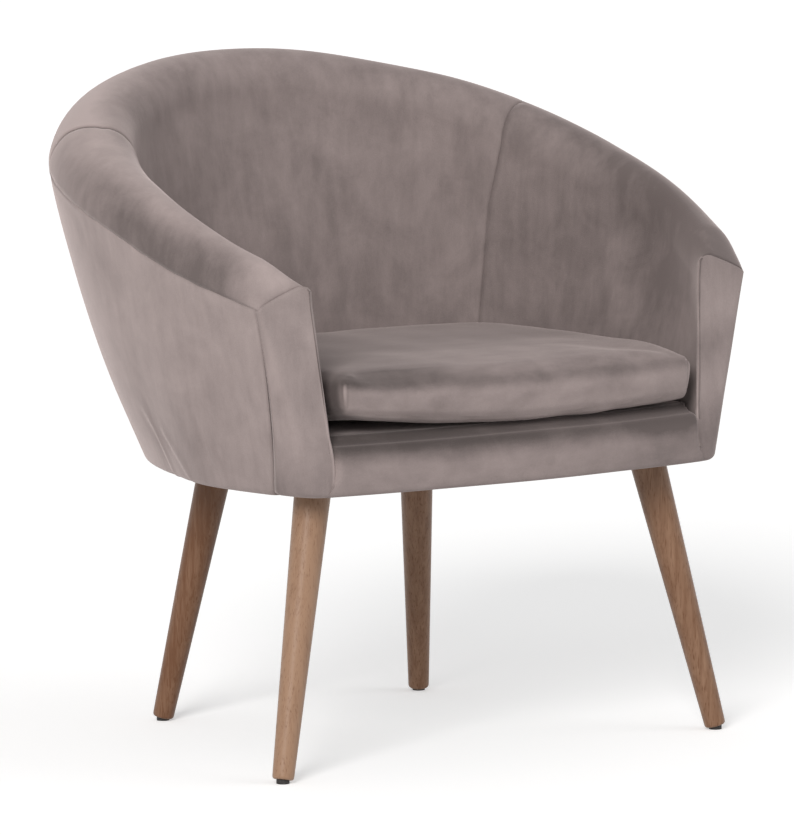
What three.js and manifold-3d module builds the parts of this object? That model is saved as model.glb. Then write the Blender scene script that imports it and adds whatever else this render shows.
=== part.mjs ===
// Tub chair: a velvet bucket on a timber seat frame, a loose seat cushion and four splayed legs.
// Millimetres, +Z up, the sitter faces -Y. The origin is the middle of the footprint, on the floor.
import * as THREE from 'three';
import Module from 'manifold-3d';
import { mergeVertices } from 'three/addons/utils/BufferGeometryUtils.js';

const wasm = await Module();
wasm.setup();

// Plan of the ridge, the crisp widest line of the body
const armSpread = 376.7;
const armFlare = 38.6;
const armLength = 251.7;
const backReach = 356.4;
const armFlareShare = 2.29;
const cornerFullShare = 0.019;
const facingTurnShare = 0.05;
const facingBlendShare = 0.3;

// Heights: the body stands on its underside, and the rim and the ridge are measured from it
const undersideHeight = 318;
const rimRiseTip = 251.6;
const rimRiseMidArm = 300.5;
const rimRiseElbow = 342.6;
const rimRiseCorner = 415.4;
const rimRiseBack = 447.6;
const ridgeRiseTip = 210;
const ridgeRiseMidArm = 244.8;
const ridgeRiseElbow = 287.5;
const ridgeRiseCorner = 349.4;
const ridgeRiseBack = 383;

// Insets of the body's section from the ridge: crest, inner top, seat level and underside
const crestInsetTip = 35.8;
const crestInsetMidArm = 34.9;
const crestInsetElbow = 41.1;
const crestInsetCorner = 53.8;
const crestInsetBack = 48.1;
const innerInsetTip = 66.8;
const innerInsetMidArm = 59.8;
const innerInsetElbow = 68.5;
const innerInsetCorner = 93.6;
const innerInsetBack = 95.4;
const seatInsetTip = 82;
const seatInsetMidArm = 101;
const seatInsetElbow = 111;
const seatInsetCorner = 139.5;
const seatInsetBack = 175;
const footInsetTip = 58;
const footInsetMidArm = 52.4;
const footInsetElbow = 87;
const footInsetCorner = 114.5;
const footInsetBack = 120;

// How far the outside panels stand out, half way up, from a straight line between ridge and underside
const panelBulgeTip = 0;
const panelBulgeMidArm = 2.1;
const panelBulgeElbow = 5.2;
const panelBulgeCorner = 10.2;
const panelBulgeBack = 7.5;

// Front ends of the arms
const armFrontRise = 232.7;
const armFrontCrestInset = 53;
const armFrontInnerInset = 68;
const armFrontRollDepth = 12.7;
const armFrontShare = 0.12;
const armFrontFlatShare = 0.75;
const facingLean = 22;
const leanShare = 0.5;
const facingWrap = 40;
const facingTopWrap = 9;
const facingCornerRound = 14;
const facingTopRound = 3;
const facingRoundShare = 0.6;
const facingHem = 3;

// Roll of the rim, hems and cloth
const rollDepth = 48;
const edgeRound = 16;
const coverHem = 18;
const coverThickness = 2;
const fitGap = 0.4;
const tipGap = 1.3;
const seamShare = 1.3;
const seamGap = 0.9;

// Seat: board, rails, springs and deck
const boardThickness = 21.6;
const boardSetback = 14;
const boardFrontSetback = 17;
const railThickness = 24;
const railSetback = 3.4;
const frontRailEndGap = 2;
const sideRailLedge = 3;
const backRailLedge = 16;
const springWireRadius = 1.9;
const springSwing = 22;
const springSideGap = 101.8;
const springCount = 4;
const springBends = 10;
const springBearing = 11;
const deckPadThickness = 11.4;
const deckCoverThickness = 1.2;
const deckGap = 0.6;
const deckFrontGap = 2;

// Front border
const borderAhead = 46.6;
const borderBow = 20.5;
const borderHeight = 56;
const borderTopRound = 12;
const borderDepth = 30;
const borderPadThickness = 10;
const borderEndGap = 0.7;

// Shell frame inside the walls
const topRailWidth = 26;
const topRailDepth = 38;
const topRailLift = 0;
const topRailTaper = 1.5;
const liningThickness = 3;
const liningBow = 0.8;
const wallFoamThickness = 16;
const foamEdgeSetback = 4;
const foamTipGap = 1.6;
const postDepth = 24;
const postWidth = 34;
const postGap = 1;
const postSetback = 5.5;
const frontPostShare = 0.12;
const middlePostShare = 0.93;
const backPostShare = 1.62;

// Loose cushion
const cushionHeight = 69;
const cushionClearance = 11;
const cushionFrontAhead = 45;
const cushionFrontBow = 16;
const cushionCornerRound = 22;
const cushionClothThickness = 1.6;
const cushionDrawIn = 14;
const cushionBottomShares = [0.55, 0.88];
const cushionEdgeShares = [[0.43, 0], [0.14, 0.04], [0.04, 0.145], [0.035, 0.32], [0.07, 0.55], [0.36, 0.68], [1, 0.78]];
const cushionCrownShares = [[0.8, 0.884], [0.5, 0.97]];
const cushionStationShares = [0.06, 0.35, 0.62, 0.85, 1.05, 1.2, 1.35, 1.5, 1.65, 1.82, 2];
const zipStationShare = 1.65;
const zipBand = 4;
const zipThickness = 1.8;

// Legs and their fittings
const frontLegInset = 46.9;
const frontLegSetback = 46.7;
const frontSplayOut = 71;
const frontSplayAhead = 42.4;
const rearLegStationShare = 1.5025;
const rearLegInset = 75.9;
const rearSplayOut = 43.5;
const rearSplayBack = 55.1;
const legFootRadius = 12.2;
const legTopRadius = 20.7;
const legEndRound = 3;
const glideRadius = 7.5;
const glideThickness = 1.3;
const plateWidth = 52;
const plateThickness = 2.4;
const boltRadius = 4;
const boltInLeg = 32;
const boltInBlock = 14;
const blockWidth = 60;
const blockChamfer = 8;
const dustCoverThickness = 1.2;
const dustCoverHole = 24;
const dustCornerGap = 12;
const dustMargin = 1.5;
const plateCorner = 4;

// Counts of facets
const legSides = 20;
const boltSides = 8;
const glideSides = 16;
const cushionFrontPoints = 6;
const armShares = [0, 0.03, 0.07, 0.15, 0.27, 0.4, 0.53, 0.65, 0.74, 0.81, 0.875, 0.94, 1];
const backSpans = 12;
const borderSpans = 8;
const holeSides = 24;
const wireSides = 5;
const rollSteps = 4;
const wallShares = [0.3, 0.65, 1];
const panelShares = [0.13, 0.32, 0.54, 0.78, 1];
const roundShares = [0, 0.25, 0.6, 1];
const facingShares = [0, 0.12, 0.22, 0.5, 0.8, 1];

// Levels that follow from the sizes
const seatFloor = undersideHeight + coverThickness + fitGap;
const boardTop = seatFloor + boardThickness;
const railBottom = boardTop + fitGap;
const railTop = railBottom + railThickness;
const springLevel = railTop + fitGap + springWireRadius;
const deckPadBottom = springLevel + springWireRadius + fitGap;
const deckPadTop = deckPadBottom + deckPadThickness;
const deckTop = deckPadTop + fitGap + deckCoverThickness;
const borderFront = armLength + borderAhead;
const footprintShift = (borderFront - backReach) / 2;

const rimRises = [rimRiseTip, rimRiseMidArm, rimRiseElbow, rimRiseCorner, rimRiseBack];
const ridgeRises = [ridgeRiseTip, ridgeRiseMidArm, ridgeRiseElbow, ridgeRiseCorner, ridgeRiseBack];
const crestInsets = [crestInsetTip, crestInsetMidArm, crestInsetElbow, crestInsetCorner, crestInsetBack];
const innerInsets = [innerInsetTip, innerInsetMidArm, innerInsetElbow, innerInsetCorner, innerInsetBack];
const seatInsets = [seatInsetTip, seatInsetMidArm, seatInsetElbow, seatInsetCorner, seatInsetBack];
const footInsets = [footInsetTip, footInsetMidArm, footInsetElbow, footInsetCorner, footInsetBack];
const panelBulges = [panelBulgeTip, panelBulgeMidArm, panelBulgeElbow, panelBulgeCorner, panelBulgeBack];

const velvet = { color: 0x8f8380, roughness: 0.9, metalness: 0 };
const seatVelvet = { color: 0x8a7e7a, roughness: 0.9, metalness: 0 };
const beech = { color: 0x9c7a5f, roughness: 0.5, metalness: 0 };
const frameTimber = { color: 0xcdb48c, roughness: 0.75, metalness: 0 };
const board = { color: 0xb08f66, roughness: 0.8, metalness: 0 };
const foam = { color: 0xe8dfc4, roughness: 0.95, metalness: 0 };
const blackCloth = { color: 0x232223, roughness: 0.95, metalness: 0 };
const steel = { color: 0x8b8d90, roughness: 0.4, metalness: 1 };
const darkRubber = { color: 0x2b2725, roughness: 0.8, metalness: 0 };

const group = new THREE.Group();

function addPart(name, geometry, look) {
  const mesh = new THREE.Mesh(geometry, new THREE.MeshStandardMaterial(look));
  mesh.name = name;
  group.add(mesh);
}

// Smooth values along one half of the body: station 0 is the arm tip, 1 the elbow, 2 the back's middle
function keyed(values, station) {
  const spans = values.length - 1;
  const along = (station / 2) * spans;
  const span = Math.min(Math.floor(along), spans - 1);
  const t = along - span;
  const b = values[span];
  const c = values[span + 1];
  const a = span === 0 ? 2 * b - c : values[span - 1];
  const d = span === spans - 1 ? b : values[span + 2];
  const bend = 2 * a - 5 * b + 4 * c - d + t * (3 * (b - c) + d - a);
  return b + 0.5 * t * (c - a + t * bend);
}

function ease(t) {
  const k = Math.min(Math.max(t, 0), 1);
  return k * k * (3 - 2 * k);
}

function mix(a, b, t) {
  return a + (b - a) * t;
}

// Ridge point and inward direction at a station of the right half
function ridgePlan(station) {
  const point = new THREE.Vector2();
  const run = new THREE.Vector2();
  if (station <= 1) {
    const ahead = 1 - station;
    point.set(armSpread - armFlare * ahead ** armFlareShare, -armLength * ahead);
    run.set(armFlareShare * armFlare * ahead ** (armFlareShare - 1), armLength);
  } else {
    const turn = ((station - 1) * Math.PI) / 2;
    const full = 1 + cornerFullShare * Math.sin(2 * turn) ** 2;
    const growth = 2 * cornerFullShare * Math.sin(4 * turn);
    point.set(armSpread * Math.cos(turn) * full, backReach * Math.sin(turn) * full);
    run.x = armSpread * (Math.cos(turn) * growth - Math.sin(turn) * full);
    run.y = backReach * (Math.sin(turn) * growth + Math.cos(turn) * full);
  }
  const inward = new THREE.Vector2(-run.y, run.x).normalize();
  const facingWay = new THREE.Vector2(-1, -facingTurnShare).normalize();
  inward.lerp(facingWay, 1 - ease(station / facingBlendShare)).normalize();
  return { point, inward };
}

const ridgeHeight = (station) => undersideHeight + keyed(ridgeRises, station);

// How far the section leans forward below the ridge, near the arm tips
function leanAt(station, height) {
  const drop = Math.max(0, ridgeHeight(station) - height);
  return (facingLean / ridgeRiseTip) * ease(1 - station / leanShare) * drop;
}

// A point of the body: station, inset from the ridge and height; a negative way is the left half
function place(station, inset, height, way = 1) {
  const { point, inward } = ridgePlan(station);
  const y = point.y + inward.y * inset - leanAt(station, height) + footprintShift;
  return new THREE.Vector3(way * (point.x + inward.x * inset), y, height);
}

// Across the back the station runs from one seam through the middle to the other
function placeAcross(across, inset, height) {
  return place(2 - Math.abs(across), inset, height, across < 0 ? -1 : 1);
}

function outerInset(station, height) {
  const rise = keyed(ridgeRises, station);
  const share = Math.min(Math.max((height - undersideHeight) / rise, 0), 1);
  const bulge = keyed(panelBulges, station) * 4 * share * (1 - share);
  return keyed(footInsets, station) * (1 - share) - bulge;
}

// Sizes of the rolled rim at a station, drawn down to the facing's top at the arm tip
function rimAt(station) {
  const tip = ease(1 - station / armFrontShare);
  const crestInset = mix(keyed(crestInsets, station), armFrontCrestInset, tip);
  const innerInset = mix(keyed(innerInsets, station), armFrontInnerInset, tip);
  const crest = undersideHeight + mix(keyed(rimRises, station), armFrontRise, tip);
  const roll = mix(rollDepth, armFrontRollDepth, tip);
  return { crestInset, innerInset, crest, roll, flat: tip * armFrontFlatShare };
}

// Inner face of the wall between the roll and the seat, upright below the seat's top
function wallInset(station, height) {
  const { innerInset, crest, roll } = rimAt(station);
  const seatInset = keyed(seatInsets, station);
  const share = (crest - roll - height) / (crest - roll - deckTop);
  return mix(innerInset, seatInset, Math.min(Math.max(share, 0), 1));
}

// Section of the outer panel, from the hem under the body up to just below the ridge
function outerSection(station) {
  const foot = keyed(footInsets, station);
  const top = ridgeHeight(station) - fitGap;
  const roundTop = undersideHeight + edgeRound;
  const start = [foot + edgeRound, undersideHeight];
  const corner = [foot, undersideHeight];
  const end = [outerInset(station, roundTop), roundTop];
  const points = [[foot + edgeRound + coverHem, undersideHeight]];
  for (const t of roundShares) {
    const hold = 2 * t * (1 - t);
    points.push([0, 1].map((k) => (1 - t) ** 2 * start[k] + hold * corner[k] + t * t * end[k]));
  }
  for (const share of panelShares) {
    const height = mix(roundTop, top, share);
    points.push([outerInset(station, height), height]);
  }
  return points;
}

// Section of the rolled band and the inner wall, from the ridge over the crest to the seat rails
function innerSection(station, bottom) {
  const { crestInset, innerInset, crest, roll, flat } = rimAt(station);
  const ridge = ridgeHeight(station) + fitGap;
  const points = [];
  for (let k = 0; k <= rollSteps; k++) {
    const turn = (k / rollSteps) * (Math.PI / 2);
    const share = 1 - Math.cos(turn);
    points.push([crestInset * share, ridge + (crest - ridge) * mix(Math.sin(turn), share, flat)]);
  }
  for (let k = 1; k <= rollSteps; k++) {
    const turn = (k / rollSteps) * (Math.PI / 2);
    const inset = crestInset + (innerInset - crestInset) * Math.sin(turn);
    points.push([inset, crest - roll * (1 - Math.cos(turn))]);
  }
  for (const share of wallShares) {
    const height = mix(crest - roll, deckTop, share);
    points.push([wallInset(station, height), height]);
  }
  points.push([wallInset(station, deckTop), bottom]);
  return points;
}

// Rows of points moved inwards along the surface's own normals; the level point of a row keeps its height
function sunk(rows, depth, levelAt = -1) {
  const last = rows.length - 1;
  const end = rows[0].length - 1;
  return rows.map((row, i) =>
    row.map((point, j) => {
      const along = rows[Math.min(i + 1, last)][j].clone().sub(rows[Math.max(i - 1, 0)][j]);
      const up = row[Math.min(j + 1, end)].clone().sub(row[Math.max(j - 1, 0)]);
      const normal = along.cross(up);
      if (j === levelAt) normal.z = 0;
      normal.normalize();
      return point.clone().addScaledVector(normal, -depth);
    }),
  );
}

// Cap of a ring: triangles over its outline, all turned the way the ring runs
function capTriangles(ring) {
  const normal = new THREE.Vector3();
  ring.forEach((p, k) => {
    const q = ring[(k + 1) % ring.length];
    normal.x += (p.y - q.y) * (p.z + q.z);
    normal.y += (p.z - q.z) * (p.x + q.x);
    normal.z += (p.x - q.x) * (p.y + q.y);
  });
  normal.normalize();
  const side = Math.abs(normal.z) < 0.9 ? new THREE.Vector3(0, 0, 1) : new THREE.Vector3(1, 0, 0);
  const e1 = side.cross(normal).normalize();
  const e2 = normal.clone().cross(e1);
  const flat = ring.map((p) => new THREE.Vector2(p.dot(e1), p.dot(e2)));
  const faces = THREE.ShapeUtils.triangulateShape(flat, []);
  const area = ([a, b, c]) => flat[b].clone().sub(flat[a]).cross(flat[c].clone().sub(flat[a]));
  const turned = faces.reduce((sum, face) => sum + area(face), 0) < 0;
  return faces.map(([a, b, c]) => (turned ? [a, c, b] : [a, b, c]));
}

function signedVolume(points, faces) {
  return faces.reduce((sum, [a, b, c]) => sum + points[a].dot(points[b].clone().cross(points[c])), 0);
}

// A closed body from points and faces, turned so that its faces point out
function bodyFrom(points, faces) {
  const turned = signedVolume(points, faces) < 0;
  const geometry = new THREE.BufferGeometry();
  geometry.setAttribute('position', new THREE.Float32BufferAttribute(points.flatMap((p) => p.toArray()), 3));
  geometry.setIndex(faces.flatMap(([a, b, c]) => (turned ? [a, c, b] : [a, b, c])));
  return mergeVertices(geometry);
}

// Loft through rings of points; past the split the facets are cut along the other diagonal
function loft(rings, split = Infinity) {
  const count = rings[0].length;
  const lastRing = (rings.length - 1) * count;
  const faces = capTriangles(rings[0]);
  for (let i = 0; i < rings.length - 1; i++) {
    for (let k = 0; k < count; k++) {
      const next = (k + 1) % count;
      const [a, b] = [i * count + k, i * count + next];
      const [c, d] = [a + count, b + count];
      if (k < split) faces.push([a, c, d], [a, d, b]);
      else faces.push([a, c, b], [c, d, b]);
    }
  }
  for (const [a, b, c] of capTriangles(rings[rings.length - 1])) {
    faces.push([lastRing + a, lastRing + c, lastRing + b]);
  }
  return bodyFrom(rings.flat(), faces);
}

// A sheet between two rows of points, such as a sewn cover
function sheet(outer, inner) {
  const rings = outer.map((row, i) => [...row, ...[...inner[i]].reverse()]);
  return loft(rings, outer[0].length);
}

function mirrored(geometry) {
  const turned = geometry.clone();
  turned.scale(-1, 1, 1);
  const index = [...turned.getIndex().array];
  for (let k = 0; k < index.length; k += 3) {
    [index[k + 1], index[k + 2]] = [index[k + 2], index[k + 1]];
  }
  turned.setIndex(index);
  return turned;
}

function addPair(name, geometry, look) {
  addPart(`${name}_right`, geometry, look);
  addPart(`${name}_left`, mirrored(geometry), look);
}

// Bodies for joining and cutting
function asSolid(geometry) {
  const bare = geometry.clone();
  bare.deleteAttribute('normal');
  bare.deleteAttribute('uv');
  const merged = mergeVertices(bare);
  const vertProperties = new Float32Array(merged.getAttribute('position').array);
  const triVerts = new Uint32Array(merged.getIndex().array);
  return new wasm.Manifold(new wasm.Mesh({ numProp: 3, vertProperties, triVerts }));
}

function asGeometry(solid) {
  const mesh = solid.getMesh();
  const geometry = new THREE.BufferGeometry();
  geometry.setAttribute('position', new THREE.BufferAttribute(new Float32Array(mesh.vertProperties), 3));
  geometry.setIndex([...mesh.triVerts]);
  return geometry;
}

function cut(geometry, ...tools) {
  const body = tools.reduce((rest, tool) => rest.subtract(asSolid(tool)), asSolid(geometry));
  return asGeometry(body);
}

// A plate from a plan outline, between two levels
function plate(outline, bottom, top, holes = []) {
  const shape = new THREE.Shape(outline.map((p) => new THREE.Vector2(p.x, p.y)));
  for (const hole of holes) {
    shape.holes.push(new THREE.Path(hole.map((p) => new THREE.Vector2(p.x, p.y))));
  }
  const geometry = new THREE.ExtrudeGeometry(shape, { depth: top - bottom, bevelEnabled: false });
  geometry.translate(0, 0, bottom);
  geometry.deleteAttribute('normal');
  geometry.deleteAttribute('uv');
  return mergeVertices(geometry);
}

// Stations of the arm pieces and, across the back, of the back pieces
const tipStation = (coverThickness + tipGap) / armLength;
const seamHalf = seamGap / 2 / ((Math.PI / 2) * backReach);
const armRun = armShares.map((share) => mix(tipStation, seamShare - seamHalf, share));
const backHalf = 2 - seamShare - seamHalf;
const backRun = Array.from({ length: backSpans + 1 }, (_, k) => mix(backHalf, -backHalf, k / backSpans));

const armRows = (section, run = armRun) => run.map((u) => section(u).map(([n, z]) => place(u, n, z)));
const backRows = (section) =>
  backRun.map((s) => section(2 - Math.abs(s)).map(([n, z]) => placeAcross(s, n, z)));

// Where the facing's wrap ends on the outer side, as a station
function wrapStation(height) {
  const share = (height - undersideHeight) / ridgeRiseTip;
  return mix(facingWrap, facingTopWrap, Math.min(Math.max(share, 0), 1)) / armLength;
}

function outsideArmRows() {
  const start = tipStation;
  const heights = outerSection(start).map(([, z]) => z);
  return armShares.map((share) =>
    heights.map((height, j) => {
      const station = mix(wrapStation(height) + fitGap / armLength, seamShare - seamHalf, share);
      const [n, z] = outerSection(station)[j];
      return place(station, n, z);
    }),
  );
}

function addCovers() {
  const wallBottom = railTop + fitGap;
  const inner = (u) => innerSection(u, wallBottom);
  const arm = armRows(inner);
  const back = backRows(inner);
  addPair('inside_arm_cover', sheet(arm, sunk(arm, coverThickness, 0)), velvet);
  addPart('inside_back_cover', sheet(back, sunk(back, coverThickness, 0)), velvet);
  const side = outsideArmRows();
  const rear = backRows(outerSection);
  const top = side[0].length - 1;
  addPair('outside_arm_cover', sheet(side, sunk(side, coverThickness, top)), velvet);
  addPart('outside_back_cover', sheet(rear, sunk(rear, coverThickness, top)), velvet);
  const skin = coverThickness + fitGap;
  const stuffed = (rows, corePoints) => rows.map((row, i) => [...row.slice(1), ...corePoints[i]]);
  const split = arm[0].length - 1;
  const foamRun = [tipStation + foamTipGap / armLength, ...armRun.slice(1)];
  const stuffing = stuffed(sunk(armRows(inner, foamRun), skin), armRows(coreSection, foamRun));
  addPair('arm_foam', loft(stuffing, split), foam);
  addPart('back_foam', loft(stuffed(sunk(back, skin), backRows(coreSection)), split), foam);
}

// Top rail's section and the lining's line down from it to the seat rails
function railSection(station) {
  const ridge = ridgeHeight(station);
  const low = ridge - topRailDepth;
  const top = ridge + topRailLift;
  const outer = railSetback + topRailTaper;
  return [
    [outerInset(station, low) + railSetback, low],
    [outer, top],
    [outer + topRailWidth, top],
    [outer + topRailWidth, low],
  ];
}

function liningSection(station) {
  const [, , [railInset, railHigh]] = railSection(station);
  const foot = keyed(seatInsets, station) - coverThickness - wallFoamThickness - 2 * fitGap;
  const near = railInset + fitGap;
  const bottom = railTop + fitGap;
  return [
    [foot - liningThickness, bottom],
    [near, railHigh],
    [near + liningThickness, railHigh],
    [foot, bottom],
  ];
}

// Points half way up the lining's faces, where the board bows towards the seat
function liningRing(station) {
  const [a, b, c, d] = liningSection(station);
  return [a, bowed(a, b), b, c, bowed(c, d), d];
}

const bowed = ([n0, z0], [n1, z1]) => [mix(n0, n1, 0.5) + liningBow, mix(z0, z1, 0.5)];

// The foam's face over the lining and the top rail
function coreSection(station) {
  const [, [outer, railHigh]] = railSection(station);
  const [, , [liningInset, liningHigh], [foot, bottom]] = liningSection(station);
  const low = [foot + fitGap, bottom];
  const high = [liningInset + fitGap, liningHigh + fitGap];
  return [
    low,
    bowed(low, high),
    high,
    [outer + foamEdgeSetback, railHigh + fitGap],
  ];
}

function addShellFrame() {
  addPair('arm_lining', loft(armRows(liningRing, armRun.slice(1))), board);
  addPart('back_lining', loft(backRows(liningRing)), board);
  addPair('arm_top_rail', loft(armRows(railSection, armRun.slice(1))), frameTimber);
  addPart('back_top_rail', loft(backRows(railSection)), frameTimber);
  addPair('arm_front_post', post(frontPostShare), frameTimber);
  addPair('arm_middle_post', post(middlePostShare), frameTimber);
  addPair('back_post', post(backPostShare), frameTimber);
}

// An upright between the seat rails and the top rail, following the wall's slope
function post(station) {
  const run = ridgePlan(station + 0.01).point.distanceTo(ridgePlan(station).point) / 0.01;
  const half = postWidth / 2 / run;
  const bottom = railTop + fitGap;
  const corners = [];
  for (const u of [station - half, station + half]) {
    const lining = liningSection(u)[0][0] - postGap;
    const [[, low], , [railInset]] = railSection(u);
    const footOuter = outerInset(u, bottom) + postSetback;
    const footInner = Math.min(lining, footOuter + postDepth);
    const headOuter = outerInset(u, low) + postSetback;
    corners.push([u, footOuter, footInner, headOuter, railInset, low - 2 * postGap]);
  }
  const [a, b] = corners;
  const foot = [place(a[0], a[1], bottom), place(a[0], a[2], bottom)];
  foot.push(place(b[0], b[2], bottom), place(b[0], b[1], bottom));
  const head = [place(a[0], a[3], a[5]), place(a[0], a[4], a[5])];
  head.push(place(b[0], b[4], b[5]), place(b[0], b[3], b[5]));
  return loft([foot, head]);
}

function seatRailSection(station, ledge) {
  const inner = keyed(seatInsets, station) + ledge;
  return [
    [outerInset(station, railBottom) + railSetback, railBottom],
    [outerInset(station, railTop) + railSetback, railTop],
    [inner, railTop],
    [inner, railBottom],
  ];
}

// Front line of the border at a place across the chair
function borderLine(x) {
  const half = place(0, seatInsetTip, undersideHeight).x;
  return footprintShift - borderFront + borderBow * (x / half) ** 2;
}

function acrossFront(half, spans) {
  return Array.from({ length: spans + 1 }, (_, k) => mix(-half, half, k / spans));
}

function addSeatFrame() {
  const side = armRows((u) => seatRailSection(u, sideRailLedge), armRun.slice(1));
  const rear = backRows((u) => seatRailSection(u, backRailLedge));
  addPair('seat_side_rail', loft(side), frameTimber);
  addPart('seat_back_rail', loft(rear), frameTimber);
  addPart('seat_front_rail', frontRail(), frameTimber);
  addPart('base_board', baseBoard(), board);
  addPart('dust_cover', dustCover(), blackCloth);
}

const padBack = coverThickness + borderPadThickness + 2 * fitGap;
const frontRailBack = footprintShift - borderFront + borderBow + padBack + railThickness;
const frontRailHalf = halfWidthAt(frontRailBack, (u) => place(u, keyed(seatInsets, u) + sideRailLedge, railTop)) -
  frontRailEndGap;

// Half width of an arm's line at a place along the chair
function halfWidthAt(y, pointAt) {
  let [low, high] = [0, 1];
  for (let k = 0; k < 40; k++) {
    const middle = (low + high) / 2;
    if (pointAt(middle).y < y) low = middle;
    else high = middle;
  }
  return Math.min(pointAt(low).x, pointAt(tipStation).x);
}

function frontRail() {
  const line = acrossFront(frontRailHalf, borderSpans).map((x) => new THREE.Vector2(x, borderLine(x) + padBack));
  line.push(new THREE.Vector2(frontRailHalf, frontRailBack), new THREE.Vector2(-frontRailHalf, frontRailBack));
  return plate(line, railBottom, railTop);
}

// Plan outline inside the body: an inset at each station, closed by a line across the front
function bodyOutline(insetAt, level, first, frontLine) {
  const run = [...armRun.filter((u) => u > first), ...backRun.filter((s) => s >= 0).map((s) => 2 - s)];
  const right = run.map((u) => place(u, insetAt(u), level));
  const left = right.slice(0, -1).reverse().map((p) => new THREE.Vector3(-p.x, p.y, p.z));
  return [...frontLine, ...right, ...left].map((p) => new THREE.Vector2(p.x, p.y));
}

function frontEdge(half, setback) {
  return acrossFront(half, borderSpans).map((x) => new THREE.Vector2(x, borderLine(x) + setback));
}

function ellipse(halfWidth, halfDepth, centreY, sides) {
  return Array.from({ length: sides }, (_, k) => {
    const turn = (k / sides) * 2 * Math.PI;
    return new THREE.Vector2(halfWidth * Math.cos(turn), centreY + halfDepth * Math.sin(turn));
  });
}

function baseBoard() {
  const inset = (u) => keyed(footInsets, u) + boardSetback;
  const outline = bodyOutline(inset, seatFloor, armRun[1], frontEdge(frontRailHalf, boardFrontSetback));
  const whole = plate(outline, seatFloor, boardTop);
  const tools = legs.flatMap((leg) => [plateRecess(leg), boltHole(leg)]);
  return cut(whole, ...tools);
}

function dustCover() {
  const inset = (u) => keyed(footInsets, u) + edgeRound + coverHem + dustMargin;
  const level = seatFloor - fitGap - dustCoverThickness;
  const dustFrontHalf = place(armRun[3], inset(armRun[3]), level).x - dustCornerGap;
  const outline = bodyOutline(inset, level, armRun[2], frontEdge(dustFrontHalf, borderDepth + dustMargin));
  const holes = legs.map((leg) => ellipseAt(leg.head, dustCoverHole, holeSides));
  return plate(outline, level, level + dustCoverThickness, holes);
}

function ellipseAt(centre, radius, sides) {
  return ellipse(radius, radius, 0, sides).map((p) => new THREE.Vector2(p.x + centre.x, p.y + centre.y));
}

// Deck under the cushion
function addDeck() {
  const inset = (u) => keyed(seatInsets, u) + deckGap;
  const half = frontRailHalf - deckGap;
  const outline = bodyOutline(inset, deckTop, armRun[2], frontEdge(half, borderDepth + deckFrontGap));
  addPart('deck_pad', plate(outline, deckPadBottom, deckPadTop), foam);
  addPart('deck_cover', plate(outline, deckPadTop + fitGap, deckTop), velvet);
  const outermost = frontRailHalf - springSideGap;
  for (let k = 0; k < springCount; k++) {
    addPart(`seat_spring_${k + 1}`, seatSpring(mix(-outermost, outermost, k / (springCount - 1))), steel);
  }
}

// Rear ledge of the seat rail at a place across the chair
function backLedge(x) {
  let [low, high] = [seamShare, 2];
  for (let k = 0; k < 40; k++) {
    const middle = (low + high) / 2;
    const point = place(middle, keyed(seatInsets, middle) + backRailLedge, railTop);
    if (point.x > Math.abs(x)) low = middle;
    else high = middle;
  }
  return place(low, keyed(seatInsets, low) + backRailLedge, railTop).y;
}

function seatSpring(x) {
  const start = frontRailBack - springBearing;
  const end = backLedge(x) + springBearing;
  const points = [new THREE.Vector3(x, start, springLevel)];
  for (let k = 0; k < springBends; k++) {
    const side = k % 2 ? -springSwing : springSwing;
    const from = mix(start + springBearing, end - springBearing, (k + 0.2) / springBends);
    const to = mix(start + springBearing, end - springBearing, (k + 0.8) / springBends);
    points.push(new THREE.Vector3(x + side, from, springLevel), new THREE.Vector3(x + side, to, springLevel));
  }
  points.push(new THREE.Vector3(x, end, springLevel));
  const path = new THREE.CatmullRomCurve3(points, false, 'catmullrom', 0.5);
  const wire = new THREE.Shape(ellipse(springWireRadius, springWireRadius, 0, wireSides));
  const geometry = new THREE.ExtrudeGeometry(wire, { steps: springBends * 4, extrudePath: path });
  geometry.deleteAttribute('normal');
  geometry.deleteAttribute('uv');
  return mergeVertices(geometry);
}

// Front border: cover and pad, lofted across the chair
function borderRows(depths, half) {
  return acrossFront(half, borderSpans).map((x) =>
    depths.map(([depth, height]) => new THREE.Vector3(x, borderLine(x) + depth, height)),
  );
}

function borderSection() {
  const top = undersideHeight + borderHeight;
  const arc = (round, base, way) =>
    roundShares.map((t) => [round * (1 - t) ** 2, base + way * round * t * t]);
  const foot = arc(edgeRound, undersideHeight, 1);
  const head = arc(borderTopRound, top, -1).reverse();
  return [[borderDepth, undersideHeight], ...foot, ...head, [borderDepth, deckTop]];
}

function addBorder() {
  const half = place(0, seatInsetTip, undersideHeight).x - borderEndGap;
  const rows = borderRows(borderSection(), half);
  addPart('front_border_cover', sheet(rows, sunk(rows, coverThickness)), velvet);
  const near = coverThickness + fitGap + borderPadThickness;
  const core = [
    [borderDepth, railTop + fitGap],
    [near, railTop + fitGap],
    [near, seatFloor + borderPadThickness],
  ];
  const padHalf = half - deckGap;
  const outer = sunk(borderRows(borderSection(), padHalf), coverThickness + fitGap);
  const inner = borderRows(core, padHalf);
  addPart('front_border_pad', loft(outer.map((row, i) => [...row.slice(1), ...inner[i]])), foam);
}

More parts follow.
